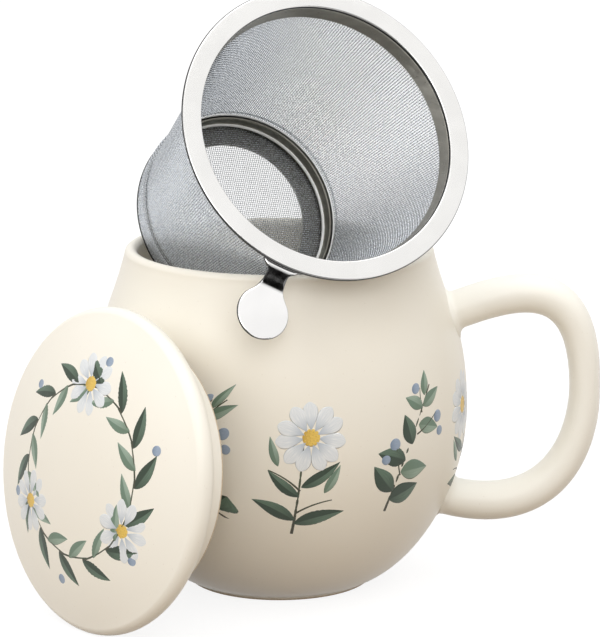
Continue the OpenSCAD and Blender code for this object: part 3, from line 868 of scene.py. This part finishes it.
# Painted light on the outer wall of the base ring, over its painted shade.
outer_wall_painted_light = (base_ring_profile[:, 0] > base_out_r - 0.3) & (base_ring_profile[:, 1] > 0.7 - BASKET_H)
base_ring = basket_ring(
    "base_ring_pressed", turned(base_ring_profile), painted_shade_steel,
    marks={"painted_light_and_shade": outer_wall_painted_light[None, :, None].astype(float)},
)


def thin_ring(name, centre, radius, finish):
    """A round wire bent to a ring: a circle about a point of the outline, turned."""
    return basket_ring(name, turned(arc(centre, radius, 0, 337.5, 15)), finish)


EDGE_ROLL, BEAD_R, BEAD_SHARE, BASE_WELDS = 0.35, 0.55, 0.3, 28
# The rolled edge takes the near black finish: a painted dark reflection.
base_edge = thin_ring(
    "base_edge_rolled", [base_out_r + EDGE_ROLL, EDGE_ROLL - BASKET_H], EDGE_ROLL, painted_black_edge_steel
)
band_end = flange_top - MESH_T
clamp = strip(
    [side_radius(ring_top) - MESH_T, -ring_top],
    [side_radius(band_end) - side_radius(ring_top), ring_top - band_end],
)
base_band = basket_ring(
    "base_band_welded", welded_band(clamp, BASE_WELDS, -(ring_top + band_end) / 2), painted_shade_steel
)
bead_depth = band_end - BEAD_SHARE * (band_end - ring_top)
base_bead = thin_ring(
    "base_bead_polished", [side_radius(bead_depth) - MESH_T - BAND_T, -bead_depth], BEAD_R,
    bead_steel,
)

# %% [markdown]
# ## The lap seam
# The mesh is a sheet rolled into a cone, so its two edges overlap somewhere. A thin strip covers
# the lap from the rim down to the base ring, with two rows of welds.

# %% Lap seam
SEAM_W, SEAM_T, SEAM_TURN, SEAM_POINTS = 3.2, 0.4, math.radians(215), 17
SEAM_INSET, SEAM_EDGE, SEAM_LIFT = 0.15, 0.12, 0.02
SPOT_STEP, SPOT_ROW, SPOT_R, SPOT_DEPTH = 2.0, 0.8, 0.45, 0.12
seam_depth = np.linspace(RIM_T + END_GAP, ring_top - END_GAP, 220)
seam_half = SEAM_W / 2
flat_run = np.linspace(-seam_half + SEAM_INSET, seam_half - SEAM_INSET, SEAM_POINTS)
seam_across = np.r_[flat_run, [seam_half] * 2, flat_run[::-1], [-seam_half] * 2]
seam_lift = np.r_[
    np.full(SEAM_POINTS, SEAM_LIFT), SEAM_EDGE, SEAM_T - SEAM_EDGE,
    np.full(SEAM_POINTS, SEAM_T), SEAM_T - SEAM_EDGE, SEAM_EDGE,
]
spot_along = np.mod(seam_depth[:, None] + SPOT_STEP / 2, SPOT_STEP) - SPOT_STEP / 2
spot_across = np.abs(seam_across) - SPOT_ROW
spots = SPOT_DEPTH * np.exp(-(spot_along**2 + spot_across**2) / SPOT_R**2)
seam_radius = side_radius(seam_depth)[:, None] + seam_lift - spots * (seam_lift > SEAM_T / 2)
seam_angle = SEAM_TURN + seam_across / side_radius(seam_depth)[:, None]
seam_grid = np.stack([
    seam_radius * np.cos(seam_angle),
    seam_radius * np.sin(seam_angle),
    -seam_depth[:, None] + 0 * seam_radius,
], axis=-1)
side_seam = ring_surface("side_seam_welded", on_basket(seam_grid[None]), band_steel, sharp=60)

# %% [markdown]
# ## The thumb tab
# The tab is cut from sheet, welded under the rim, and pressed down in a step. Its half width
# along its length is the whole outline: wide at the root, narrow at the neck, and a circle at
# the paddle. A flat section with rounded edges is carried along that length. Its thin edges and
# its neck carry a painted dark reflection, to be as dark as in the photograph, which reflections
# alone don't do.

# %% Thumb tab
TAB_TURN, TAB_REACH, PADDLE_R = math.radians(-31), 13.4, 7.3
NECK_W, ROOT_W, ROOT_RUN, TAB_T, TAB_STEP, TAB_BEND = 6.0, 10.6, 2.0, 0.9, 2.2, 0.5
FLARE_JOIN, ROOT_CUT, ROOT_START, ROOT_PULL, NECK_PULL = 48.0, 0.5, 1.0, 0.6, 1.2
TAB_POINTS, EDGE_ROUND, NECK_PAINTED_DARK = 13, 0.6, 0.8
tab_root, paddle_x = BASKET_R + SEAM_T, RIM_R + TAB_REACH
neck_in = RIM_R + ROOT_RUN
paddle_edge = arc([paddle_x, 0], PADDLE_R, 180 - FLARE_JOIN, 0.5, 60)
join = paddle_edge[0]
join_way = np.array([math.sin(math.radians(FLARE_JOIN)), math.cos(math.radians(FLARE_JOIN))])
flare_reach = join[0] - neck_in
tab_half = outline(
    [[tab_root, ROOT_W / 2 - ROOT_CUT], [tab_root + ROOT_CUT / 2, ROOT_W / 2]],
    cubic(
        [RIM_R - ROOT_START, ROOT_W / 2],
        [RIM_R + ROOT_PULL, ROOT_W / 2],
        [neck_in - NECK_PULL, NECK_W / 2],
        [neck_in, NECK_W / 2],
        12,
    ),
    cubic(
        [neck_in, NECK_W / 2],
        [neck_in + flare_reach / 2, NECK_W / 2],
        join - flare_reach / 3 * join_way,
        join,
        16,
    ),
    paddle_edge,
)
neck_end = paddle_x - PADDLE_R
bend_in = RIM_R + TAB_BEND


def step_down(x):
    """Height of the tab's upper face: a smooth step, 3 s^2 - 2 s^3, from the root to the paddle."""
    s = np.clip((x - bend_in) / (neck_end - bend_in), 0, 1)
    return -TAB_STEP * (3 * s**2 - 2 * s**3)


edge_turn = np.linspace(0, np.pi, 7)
half_t = TAB_T / 2
edge_out = np.sin(edge_turn) * half_t * EDGE_ROUND
tab_across = np.linspace(1, -1, TAB_POINTS)
tab_x, tab_w = tab_half[:, :1], np.maximum(tab_half[:, 1:] - half_t * EDGE_ROUND, 0.02)
tab_y = np.concatenate([
    tab_across * tab_w, -tab_w - edge_out[1:-1], -tab_across * tab_w, tab_w + edge_out[1:-1]
], axis=1)
flat, rounding = np.full(TAB_POINTS, half_t), half_t * np.cos(edge_turn[1:-1])
lift = np.concatenate([flat, rounding, -flat, -rounding])
tab_grid = np.stack(
    [tab_x + 0 * tab_y, tab_y, step_down(tab_x) - RIM_T - half_t + lift + 0 * tab_y], axis=-1
)
turn_tab = np.array([
    [math.cos(TAB_TURN), math.sin(TAB_TURN), 0],
    [-math.sin(TAB_TURN), math.cos(TAB_TURN), 0],
    [0, 0, 1],
])
# Painted dark reflection on the tab's thin edges and, a little less, on its neck.
tab_edge_painted_dark = np.tile(np.r_[np.zeros(TAB_POINTS), np.ones(len(rounding))], 2)
neck_painted_dark = np.clip(3 - 6 * np.abs((tab_x - bend_in) / (neck_end - bend_in) - 0.5), 0, 1)
thumb_tab = ring_surface(
    "thumb_tab_pressed", on_basket((tab_grid @ turn_tab)[None]), tab_steel,
    marks={"painted_light_and_shade": np.maximum(tab_edge_painted_dark, NECK_PAINTED_DARK * neck_painted_dark)}, sharp=60,
)

# %% [markdown]
# ## Painted sprigs
# The decoration is printed in enamel on the glaze and fired again, so it stands a few hundredths
# of a millimetre proud. A picture laid over the glaze would blur close up, so each leaf, petal and
# berry is a thin closed shape that follows the belly or the dome. One brush stroke makes them
# all: a line that may bend, and a width along it. Only the width's rule differs: a leaf swells and
# comes to a point, a petal is widest near its tip, a stem hardly changes, and a berry is round.

# %% Brush strokes
STROKE_ROWS, STROKE_AROUND, LAYER_STEP = 15, 12, 0.25
stroke_u = (1 - np.cos(np.linspace(0.02, np.pi - 0.02, STROKE_ROWS))) / 2
stroke_turn = np.linspace(0, 2 * np.pi, STROKE_AROUND, endpoint=False)
WIDTH_RULES = {
    "leaf": np.sin(np.pi * stroke_u**0.85) ** 0.9 * (1 - 0.25 * stroke_u),
    "petal": np.sin(np.pi * stroke_u**1.7) ** 0.62,
    "stem": 1.0 - 0.45 * stroke_u,
    "berry": 2 * np.sqrt(stroke_u * (1 - stroke_u)),
}


def strokes(rule, starts, headings, lengths, widths, bends):
    """Flat strokes as (copy, row, place) arrays of x and y.
    A stroke's line is start + length * (u, bend * u^2), turned to its heading."""
    u, half = stroke_u[None, :], WIDTH_RULES[rule][None, :] / 2
    starts = np.array(starts, float)
    columns = [np.array(v, float)[:, None] for v in (headings, lengths, widths, bends)]
    heading, length, width, bend = columns
    heading = np.radians(heading)
    line = np.stack([length * u, length * bend * u**2], axis=-1)
    slope = np.stack([np.ones_like(length * u), 2 * bend * u + 0 * length], axis=-1)
    slope /= np.linalg.norm(slope, axis=-1, keepdims=True)
    side = np.stack([-slope[..., 1], slope[..., 0]], axis=-1) * (width * half)[..., None]
    flat = line[:, :, None] + side[:, :, None] * np.cos(stroke_turn)[:, None]
    c, s = np.cos(heading)[..., None], np.sin(heading)[..., None]
    x = flat[..., 0] * c - flat[..., 1] * s + starts[:, None, None, 0]
    y = flat[..., 0] * s + flat[..., 1] * c + starts[:, None, None, 1]
    return x, y


def arc_lengths(profile):
    """Distance along an outline to each of its points."""
    return np.r_[0, np.cumsum(np.linalg.norm(np.diff(profile, axis=0), axis=1))]


def along_profile(profile, distance, lift):
    """Radius and height at a distance along an outline, lifted off it along its normal."""
    s = arc_lengths(profile)
    slope = np.gradient(profile, s, axis=0)
    slope /= np.linalg.norm(slope, axis=1, keepdims=True)
    r = np.interp(distance, s, profile[:, 0]) + lift * np.interp(distance, s, slope[:, 1])
    z = np.interp(distance, s, profile[:, 1]) - lift * np.interp(distance, s, slope[:, 0])
    return r, z


belly_start = float(np.interp(BELLY_Z, outer_side[:, 1], arc_lengths(outer_side)))


def on_belly(x, y, lift):
    """x runs round the belly from the front, y up its outline from its widest place. The angle is
    x over the radius at that height, so a motif shears more, the further from the front it lies,
    which shows at the back."""
    r, z = along_profile(outer_side, belly_start + y, lift)
    a = x / r - math.pi / 2
    return np.stack([r * np.cos(a), r * np.sin(a), z], axis=-1) * MM


def on_dome(x, y, lift):
    """x and y lie in the lid's own plane, with y up the leaning lid."""
    reach = np.hypot(x, y)
    r, z = along_profile(dome_outward, reach, lift)
    spread_out = r / np.maximum(reach, 1e-6)
    return carried(np.stack([-y * spread_out, x * spread_out, z], axis=-1), lid_axes, lid_origin)


dome_outward = outline([[0, DOME_H]], dome[1:])
print("belly starts at", round(belly_start, 2), "mm along its outline")

# %% [markdown]
# ## Enamel colours
# The enamels are soft and a little streaky, as a brush leaves them. A leaf has a lighter half and
# a darker half on the two sides of its rib, and a petal is greyer at its root. Both follow the
# stroke, so they read the marks that each point carries: how far along it is and how far across.

# %% Enamels
brush_tree, brush_in = shader_group(
    "brushed_enamel",
    [
        ("Place", "Vector", None), ("Along", "Float", 0.0), ("Across", "Float", 0.0),
        ("Light", "Color", (1, 1, 1, 1)), ("Dark", "Color", (0, 0, 0, 1)),
        ("Root", "Color", (0, 0, 0, 1)), ("Halves", "Float", 0.0),
    ],
    [("Colour", "Color"), ("Roughness", "Float")],
)
stroke_place = add_node(
    brush_tree, "ShaderNodeCombineXYZ", {0: brush_in["Along"], 1: brush_in["Across"]}
)
stretched = add_node(
    brush_tree, "ShaderNodeMapping", {"Vector": stroke_place.outputs[0], "Scale": (1.5, 5.0, 1.0)}
)
streaks = spread(
    brush_tree, noise(brush_tree, stretched.outputs[0], 1.6, 3.0), 0.3, 0.7, 0.0, 0.45
)
far_half = combine(
    brush_tree, "MULTIPLY", spread(brush_tree, brush_in["Across"], -0.06, 0.06), brush_in["Halves"]
)
darker = combine(brush_tree, "ADD", far_half, streaks, clamp=True)
two_tone = mix_colour(brush_tree, darker, brush_in["Light"], brush_in["Dark"])
near_root = spread(brush_tree, brush_in["Along"], 0.05, 0.55, 0.75, 0.0)
patches = noise(brush_tree, brush_in["Place"], 700.0)
add_node(brush_tree, "NodeGroupOutput", {
    "Colour": mix_colour(brush_tree, near_root, two_tone, brush_in["Root"]),
    "Roughness": spread(brush_tree, patches, 0.3, 0.7, 0.34, 0.48),
})


def enamel(name, light, dark, root, halves=0.0):
    """An enamel with a light and a dark tone and a colour at the stroke's root. halves is 1
    where the two sides of the rib differ."""
    material, tree, surface, place = new_finish(name)
    brushed = add_node(tree, "ShaderNodeGroup", {
        "Place": place,
        "Along": mark(tree, "along"),
        "Across": mark(tree, "across"),
        "Light": (*light, 1),
        "Dark": (*dark, 1),
        "Root": (*root, 1),
        "Halves": halves,
    }, node_tree=brush_tree).outputs
    feed(tree, surface, {"Base Color": brushed["Colour"], "Roughness": brushed["Roughness"]})
    return material


leaf_green = enamel(
    "enamel_leaf", (0.12, 0.19, 0.135), (0.024, 0.046, 0.026), (0.022, 0.038, 0.02), 1.0
)
pale_sage = enamel("enamel_sage", (0.34, 0.44, 0.36), (0.15, 0.23, 0.17), (0.13, 0.19, 0.13), 1.0)
stem_green = enamel(
    "enamel_stem", (0.060, 0.075, 0.040), (0.035, 0.042, 0.024), (0.05, 0.04, 0.025)
)
petal_white = enamel("enamel_white", (0.86, 0.88, 0.89), (0.50, 0.58, 0.66), (0.34, 0.41, 0.50))
pollen = enamel("enamel_yellow", (0.82, 0.58, 0.13), (0.62, 0.38, 0.06), (0.50, 0.30, 0.05))
berry_blue = enamel(
    "enamel_blue_grey", (0.36, 0.44, 0.56), (0.19, 0.26, 0.37), (0.15, 0.21, 0.31)
)
print("enamels:", [m.name for m in bpy.data.materials if m.name.startswith("enamel")])

# %% [markdown]
# ## Two motifs
# Motifs of our own, drawn at the size that suits the mug, about three centimetres. One is a daisy
# on a stalk with paired leaves, and the other is a branch of round leaves with berries. They are
# lists of strokes: where each starts, its heading in degrees, its length, width and bend. They
# stand in a row round the belly, by turns, and a wreath of the same leaves lies on the lid.

# %% Motifs
PETAL_START, PETAL_LENGTH, PETAL_WIDTH, PETAL_BEND = 0.20, 0.84, 0.46, 0.06
DISC, DOTS, DOT, DOT_SPREAD, GOLDEN = 0.52, 16, 0.06, 0.225, 137.5


def moved(stroke, place, turn, size, mirror=1):
    """A stroke of a motif, turned, scaled and moved to its place on the mug."""
    x, y, heading, length, width, bend = stroke
    if mirror < 0:
        x, heading, bend = -x, 180 - heading, -bend
    a = math.radians(turn)
    return (
        place[0] + size * (x * math.cos(a) - y * math.sin(a)),
        place[1] + size * (x * math.sin(a) + y * math.cos(a)),
        heading + turn,
        length * size,
        width * size,
        bend,
    )


def from_middle(x, y, reach, degrees):
    """The point at a reach and a heading from a middle."""
    a = math.radians(degrees)
    return x + reach * math.cos(a), y + reach * math.sin(a)


def daisy_head(x, y, r, petals, turn=0.0):
    """Petals round a middle, and a middle of small dots on a disc, as strokes by their finish.
    Every dot is a golden angle further on, and as far out as the root of its number."""
    rays = []
    for i in range(petals):
        heading = turn + 360 / petals * i
        root = from_middle(x, y, PETAL_START * r, heading)
        bend = PETAL_BEND if i % 2 else -PETAL_BEND
        rays.append((*root, heading, PETAL_LENGTH * r, PETAL_WIDTH * r, bend))
    dots = []
    for i in range(DOTS):
        dot_x, dot_y = from_middle(x, y, DOT_SPREAD * r * math.sqrt(i / DOTS), GOLDEN * i)
        dots.append((dot_x - DOT / 2 * r, dot_y, 0, DOT * r, DOT * r, 0))
    disc = [(x - DISC / 2 * r, y, 0, DISC * r, DISC * r, 0)]
    return {"petal": rays, "disc": disc, "dot": dots}


daisy_sprig = {
    "stem": [
        (0, -16, 88, 23, 0.75, 0.05),
        (0.2, -10, 42, 9, 0.5, -0.25),
        (0.4, -4, 138, 9, 0.5, 0.25),
    ],
    "leaf": [
        (0.1, -13, 28, 12.5, 4.2, -0.12),
        (0.1, -12, 150, 11.5, 4.0, 0.14),
        (0.5, -3.0, 30, 11, 3.4, 0.18),
        (0.4, -5.5, 156, 10, 3.2, -0.2),
    ],
    "pale": [(6.2, -4.0, 62, 8, 2.6, 0.1), (-5.6, 1.6, 118, 7.5, 2.4, -0.1)],
    **daisy_head(1.2, 9.4, 8.2, 11),
}
berry_branch = {
    "stem": [
        (-9, -14, 62, 33, 0.75, -0.07),
        (-3.6, -5.4, 98, 8, 0.45, -0.1),
        (2.8, 3.4, 14, 8, 0.45, 0.18),
        (5.0, 8.2, 96, 6, 0.4, -0.1),
    ],
    "leaf": [
        (-7.4, -11, 8, 9.5, 6.0, 0.06),
        (-6.2, -9, 124, 9, 5.6, -0.06),
        (-1.6, -2, 150, 8.6, 5.4, 0.08),
        (1.0, 1.4, 100, 8, 4.8, 0.05),
    ],
    "pale": [
        (-3.4, -4.6, -4, 9, 5.8, -0.05),
        (3.6, 5.6, -18, 7.6, 4.6, -0.05),
        (5.6, 9.6, 22, 7, 3.8, 0.06),
        (5.4, 9.4, 142, 6.6, 3.6, 0.06),
        (6.4, 12, 84, 6, 3, 0.0),
    ],
    "berry": [
        (-5.9, 2.7, 0, 3.1, 3.1, 0),
        (9.4, 5.6, 0, 3.0, 3.0, 0),
        (-8.6, -0.4, 0, 2.5, 2.5, 0),
        (10.2, 1.8, 0, 2.4, 2.4, 0),
        (2.2, 14.4, 0, 2.6, 2.6, 0),
    ],
}
FINISHES = {
    "stem": ("stem", stem_green, 0.020),
    "pale": ("leaf", pale_sage, 0.026),
    "leaf": ("leaf", leaf_green, 0.032),
    "petal": ("petal", petal_white, 0.040),
    "disc": ("berry", pollen, 0.052),
    "dot": ("berry", pollen, 0.066),
    "berry": ("berry", berry_blue, 0.036),
}


def gathered(motifs):
    """All strokes of several placed motifs, as one list for each kind."""
    kinds = {}
    for motif, place, turn, size, mirror in motifs:
        for kind, drawn in motif.items():
            kinds.setdefault(kind, []).extend(
                moved(stroke, place, turn, size, mirror) for stroke in drawn
            )
    return kinds


def paint(prefix, motifs, lay):
    """One thin piece for each kind of stroke, laid on the surface that lay describes. Every
    second and third stroke lies a quarter of its thickness higher, so none share a face."""
    pieces = []
    for kind, drawn in gathered(motifs).items():
        rule, finish, thickness = FINISHES[kind]
        table = np.array(drawn)
        x, y = strokes(rule, table[:, :2], *table[:, 2:].T)
        layer = LAYER_STEP * thickness * (np.arange(len(drawn)) % 3)[:, None, None]
        pieces.append(ring_surface(
            f"{prefix}_{kind}",
            lay(x, y, np.sin(stroke_turn) * thickness + layer + 0 * x),
            finish,
            marks={"along": stroke_u[None, :, None], "across": np.cos(stroke_turn)[None, None, :]},
        ))
    return pieces


BELLY_MOTIFS, MOTIF_SIZE, FIRST_PLACE = 10, 1.15, 6.0
DAISY, BRANCH = (daisy_sprig, -7.5), (berry_branch, -4.0)
belly_row = []
for i in range(BELLY_MOTIFS):
    motif, up = BRANCH if i % 2 else DAISY
    along = i / BELLY_MOTIFS * (2 * math.pi * BELLY_R) + FIRST_PLACE
    lean, mirror = (-8, 6, 10, -6)[i % 4], 1 if i % 4 < 2 else -1
    belly_row.append((motif, (along, up), lean, MOTIF_SIZE, mirror))
belly_paint = paint("belly", belly_row, on_belly)

WREATH_R, WREATH_COUNT, STEM_OVERLAP = 24.0, 14, 1.15


def round_wreath(heading, length, width, bend, ahead=0.0):
    """The same stroke at even steps round the wreath, at one heading to its radius."""
    angles = 2 * np.pi * np.arange(WREATH_COUNT) / WREATH_COUNT
    return [
        (
            WREATH_R * math.cos(a + ahead), WREATH_R * math.sin(a + ahead),
            math.degrees(a) + heading, length, width, bend,
        )
        for a in angles
    ]


BERRIES, BERRY, BERRY_OUT, BERRY_BACK, BERRY_TURN = 6, 2.9, 7.4, 1.4, 0.35
HEAD_R, HEAD_PETALS, HEAD_PLACES = 8.4, 10, (0.5, 1.17, 1.83)
berry_angles = 2 * np.pi * (np.arange(BERRIES) + BERRY_TURN) / BERRIES
berry_r = WREATH_R + BERRY_OUT
wreath = {
    "stem": round_wreath(97, 2 * math.pi * WREATH_R / WREATH_COUNT * STEM_OVERLAP, 0.7, 0.18),
    "leaf": round_wreath(52, 11.5, 4.6, 0.14),
    "pale": round_wreath(150, 10.0, 4.0, -0.14, ahead=0.2),
    "berry": [
        (berry_r * math.cos(a) - BERRY_BACK, berry_r * math.sin(a), 0, BERRY, BERRY, 0)
        for a in berry_angles
    ],
}
heads = [
    daisy_head(*from_middle(0, 0, WREATH_R, 180 * share), HEAD_R, HEAD_PETALS, 12 * k)
    for k, share in enumerate(HEAD_PLACES)
]
lid_paint = paint("lid", [(motif, (0, 0), 0, 1, 1) for motif in [wreath, *heads]], on_dome)

# %% [markdown]
# ## The table and the light
# The mug stands on a white table in a white room, as the camera sees it. The light that reaches
# the glaze comes from a sky that is dimmer and warmer low down, from a table that is brown to
# that light alone, and from three soft lamps, at the left, overhead and in front. So the belly
# turns gently darker towards its foot. Reflections see the white room too, but polished steel
# needs something dark to mirror, or it looks like paper. So for them the low front of the room is
# dark, and a black card that only they see stands there.

# %% Table, sky and lamps
WHITE, ROOM_DARK = (1, 1, 1, 1), (0.03, 0.03, 0.03, 1)


def diffuse(tree, colour):
    """A plain matt colour."""
    return add_node(tree, "ShaderNodeBsdfDiffuse", {"Color": (*colour, 1)}).outputs[0]


def stage_sheet(name, corners, material):
    """A flat sheet with four corners that belongs to the stage."""
    mesh = bpy.data.meshes.new(name)
    mesh.from_pydata(corners, [], [(0, 1, 2, 3)])
    mesh.materials.append(material)
    sheet = bpy.data.objects.new(name, mesh)
    bpy.context.scene.collection.objects.link(sheet)
    return sheet


table = bpy.data.materials.new("white_table")
tree = emptied(table)
rays = add_node(tree, "ShaderNodeLightPath").outputs
seen = combine(tree, "MAXIMUM", rays["Is Camera Ray"], rays["Is Glossy Ray"])
shown = combine(tree, "MAXIMUM", seen, rays["Is Transmission Ray"])
glow = add_node(tree, "ShaderNodeEmission", {"Color": WHITE, "Strength": 0.86}).outputs[0]
white = add_node(tree, "ShaderNodeAddShader", {0: diffuse(tree, (0.22, 0.22, 0.22)), 1: glow})
warm = diffuse(tree, (0.29, 0.215, 0.135))
looks = add_node(tree, "ShaderNodeMixShader", {0: shown, 1: warm, 2: white.outputs[0]})
add_node(tree, "ShaderNodeOutputMaterial", {0: looks.outputs[0]})
HALF_TABLE = 4.0
stage_sheet("table_top", [
    (-HALF_TABLE, -HALF_TABLE, 0), (HALF_TABLE, -HALF_TABLE, 0),
    (HALF_TABLE, HALF_TABLE, 0), (-HALF_TABLE, HALF_TABLE, 0),
], table)

world = bpy.data.worlds.new("soft_room")
bpy.context.scene.world = world
tree = emptied(world)
direction = add_node(tree, "ShaderNodeTexCoord").outputs["Generated"]
toward = add_node(tree, "ShaderNodeSeparateXYZ", {0: direction}).outputs
sky = mix_colour(tree, spread(tree, toward["Z"], -0.15, 0.75), (0.52, 0.50, 0.47, 1), WHITE)
front = spread(tree, toward["Y"], -0.90, -0.55, 1.0, 0.0)
low = spread(tree, toward["Z"], 0.30, 0.50, 1.0, 0.0)
mirrored = mix_colour(tree, combine(tree, "MULTIPLY", front, low), WHITE, ROOM_DARK)
rays = add_node(tree, "ShaderNodeLightPath").outputs
for_gloss = mix_colour(tree, rays["Is Glossy Ray"], sky, mirrored)
for_camera = mix_colour(tree, rays["Is Camera Ray"], for_gloss, WHITE)
for_all = mix_colour(tree, rays["Is Transmission Ray"], for_camera, WHITE)
room = add_node(tree, "ShaderNodeBackground", {"Color": for_all, "Strength": 1.0})
add_node(tree, "ShaderNodeOutputWorld", {0: room.outputs[0]})

LIT_POINT = (0, 0, 0.05)


def soft_lamp(name, place, size, power):
    """A square area lamp that looks from its place at the middle of the mug."""
    lamp = bpy.data.lights.new(name, "AREA")
    lamp.size, lamp.energy = size, power
    holder = bpy.data.objects.new(name, lamp)
    holder.location = place
    look = unit(np.array(LIT_POINT) - np.array(place))
    holder.rotation_euler = (math.acos(-look[2]), 0, math.atan2(look[0], -look[1]) + math.pi)
    bpy.context.scene.collection.objects.link(holder)


soft_lamp("window_left", (-1.05, -0.9, 0.85), 0.9, 4.4)
soft_lamp("skylight", (0.25, -0.15, 1.3), 0.9, 3.0)
soft_lamp("front_fill", (0.15, -1.35, 0.75), 0.8, 5.0)

black = bpy.data.materials.new("black_paper")
tree = emptied(black)
add_node(tree, "ShaderNodeOutputMaterial", {0: diffuse(tree, (0.015, 0.015, 0.015))})
black_card = stage_sheet("black_card", [
    (-0.08, -0.62, 0.002), (0.52, -0.46, 0.002), (0.52, -0.46, 0.30), (-0.08, -0.62, 0.30),
], black)
for sort in ("camera", "diffuse", "shadow", "transmission", "volume_scatter"):
    setattr(black_card, "visible_" + sort, False)
bpy.context.scene.view_settings.view_transform = "Standard"
print("lamps:", [lamp.name for lamp in bpy.data.lights])

# %% [markdown]
# ## Riding and replacing
# Each piece is listed with the body that carries it, its construction node and a finish name.
# It rides on that body, and the construction node that it stands for is hidden.

# %% Finish
dressed = [
    (mug_body, "mug", "mug_body", "cream_glaze"),
    (mug_handle, "mug", "mug_handle", "cream_glaze"),
    (lid, "lid", "lid", "cream_glaze"),
]
dressed += [(piece, "mug", None, "cream_glaze") for piece in belly_paint]
dressed += [(piece, "lid", None, "cream_glaze") for piece in lid_paint]
dressed += [(piece, "infuser", node, finish) for piece, node, finish in (
    (rim_ring, "rim_ring", "polished_steel"),
    (collar_band, "collar_band", "band_steel"),
    (base_ring, "base_ring", "band_steel"),
    (base_band, "base_band", "band_steel"),
    (base_bead, "base_band", "band_steel"),
    (base_edge, "base_ring", "band_steel"),
    (side_seam, "side_seam", "band_steel"),
    (thumb_tab, "thumb_tab", "polished_steel"),
)]
dressed += [(piece, "infuser", "side_mesh", "woven_steel") for piece in woven_side]
dressed += [(piece, "infuser", "base_mesh", "woven_steel") for piece in woven_base]
for piece, body, node, slot in dressed:
    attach(piece, body)
    if node:
        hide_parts(node)
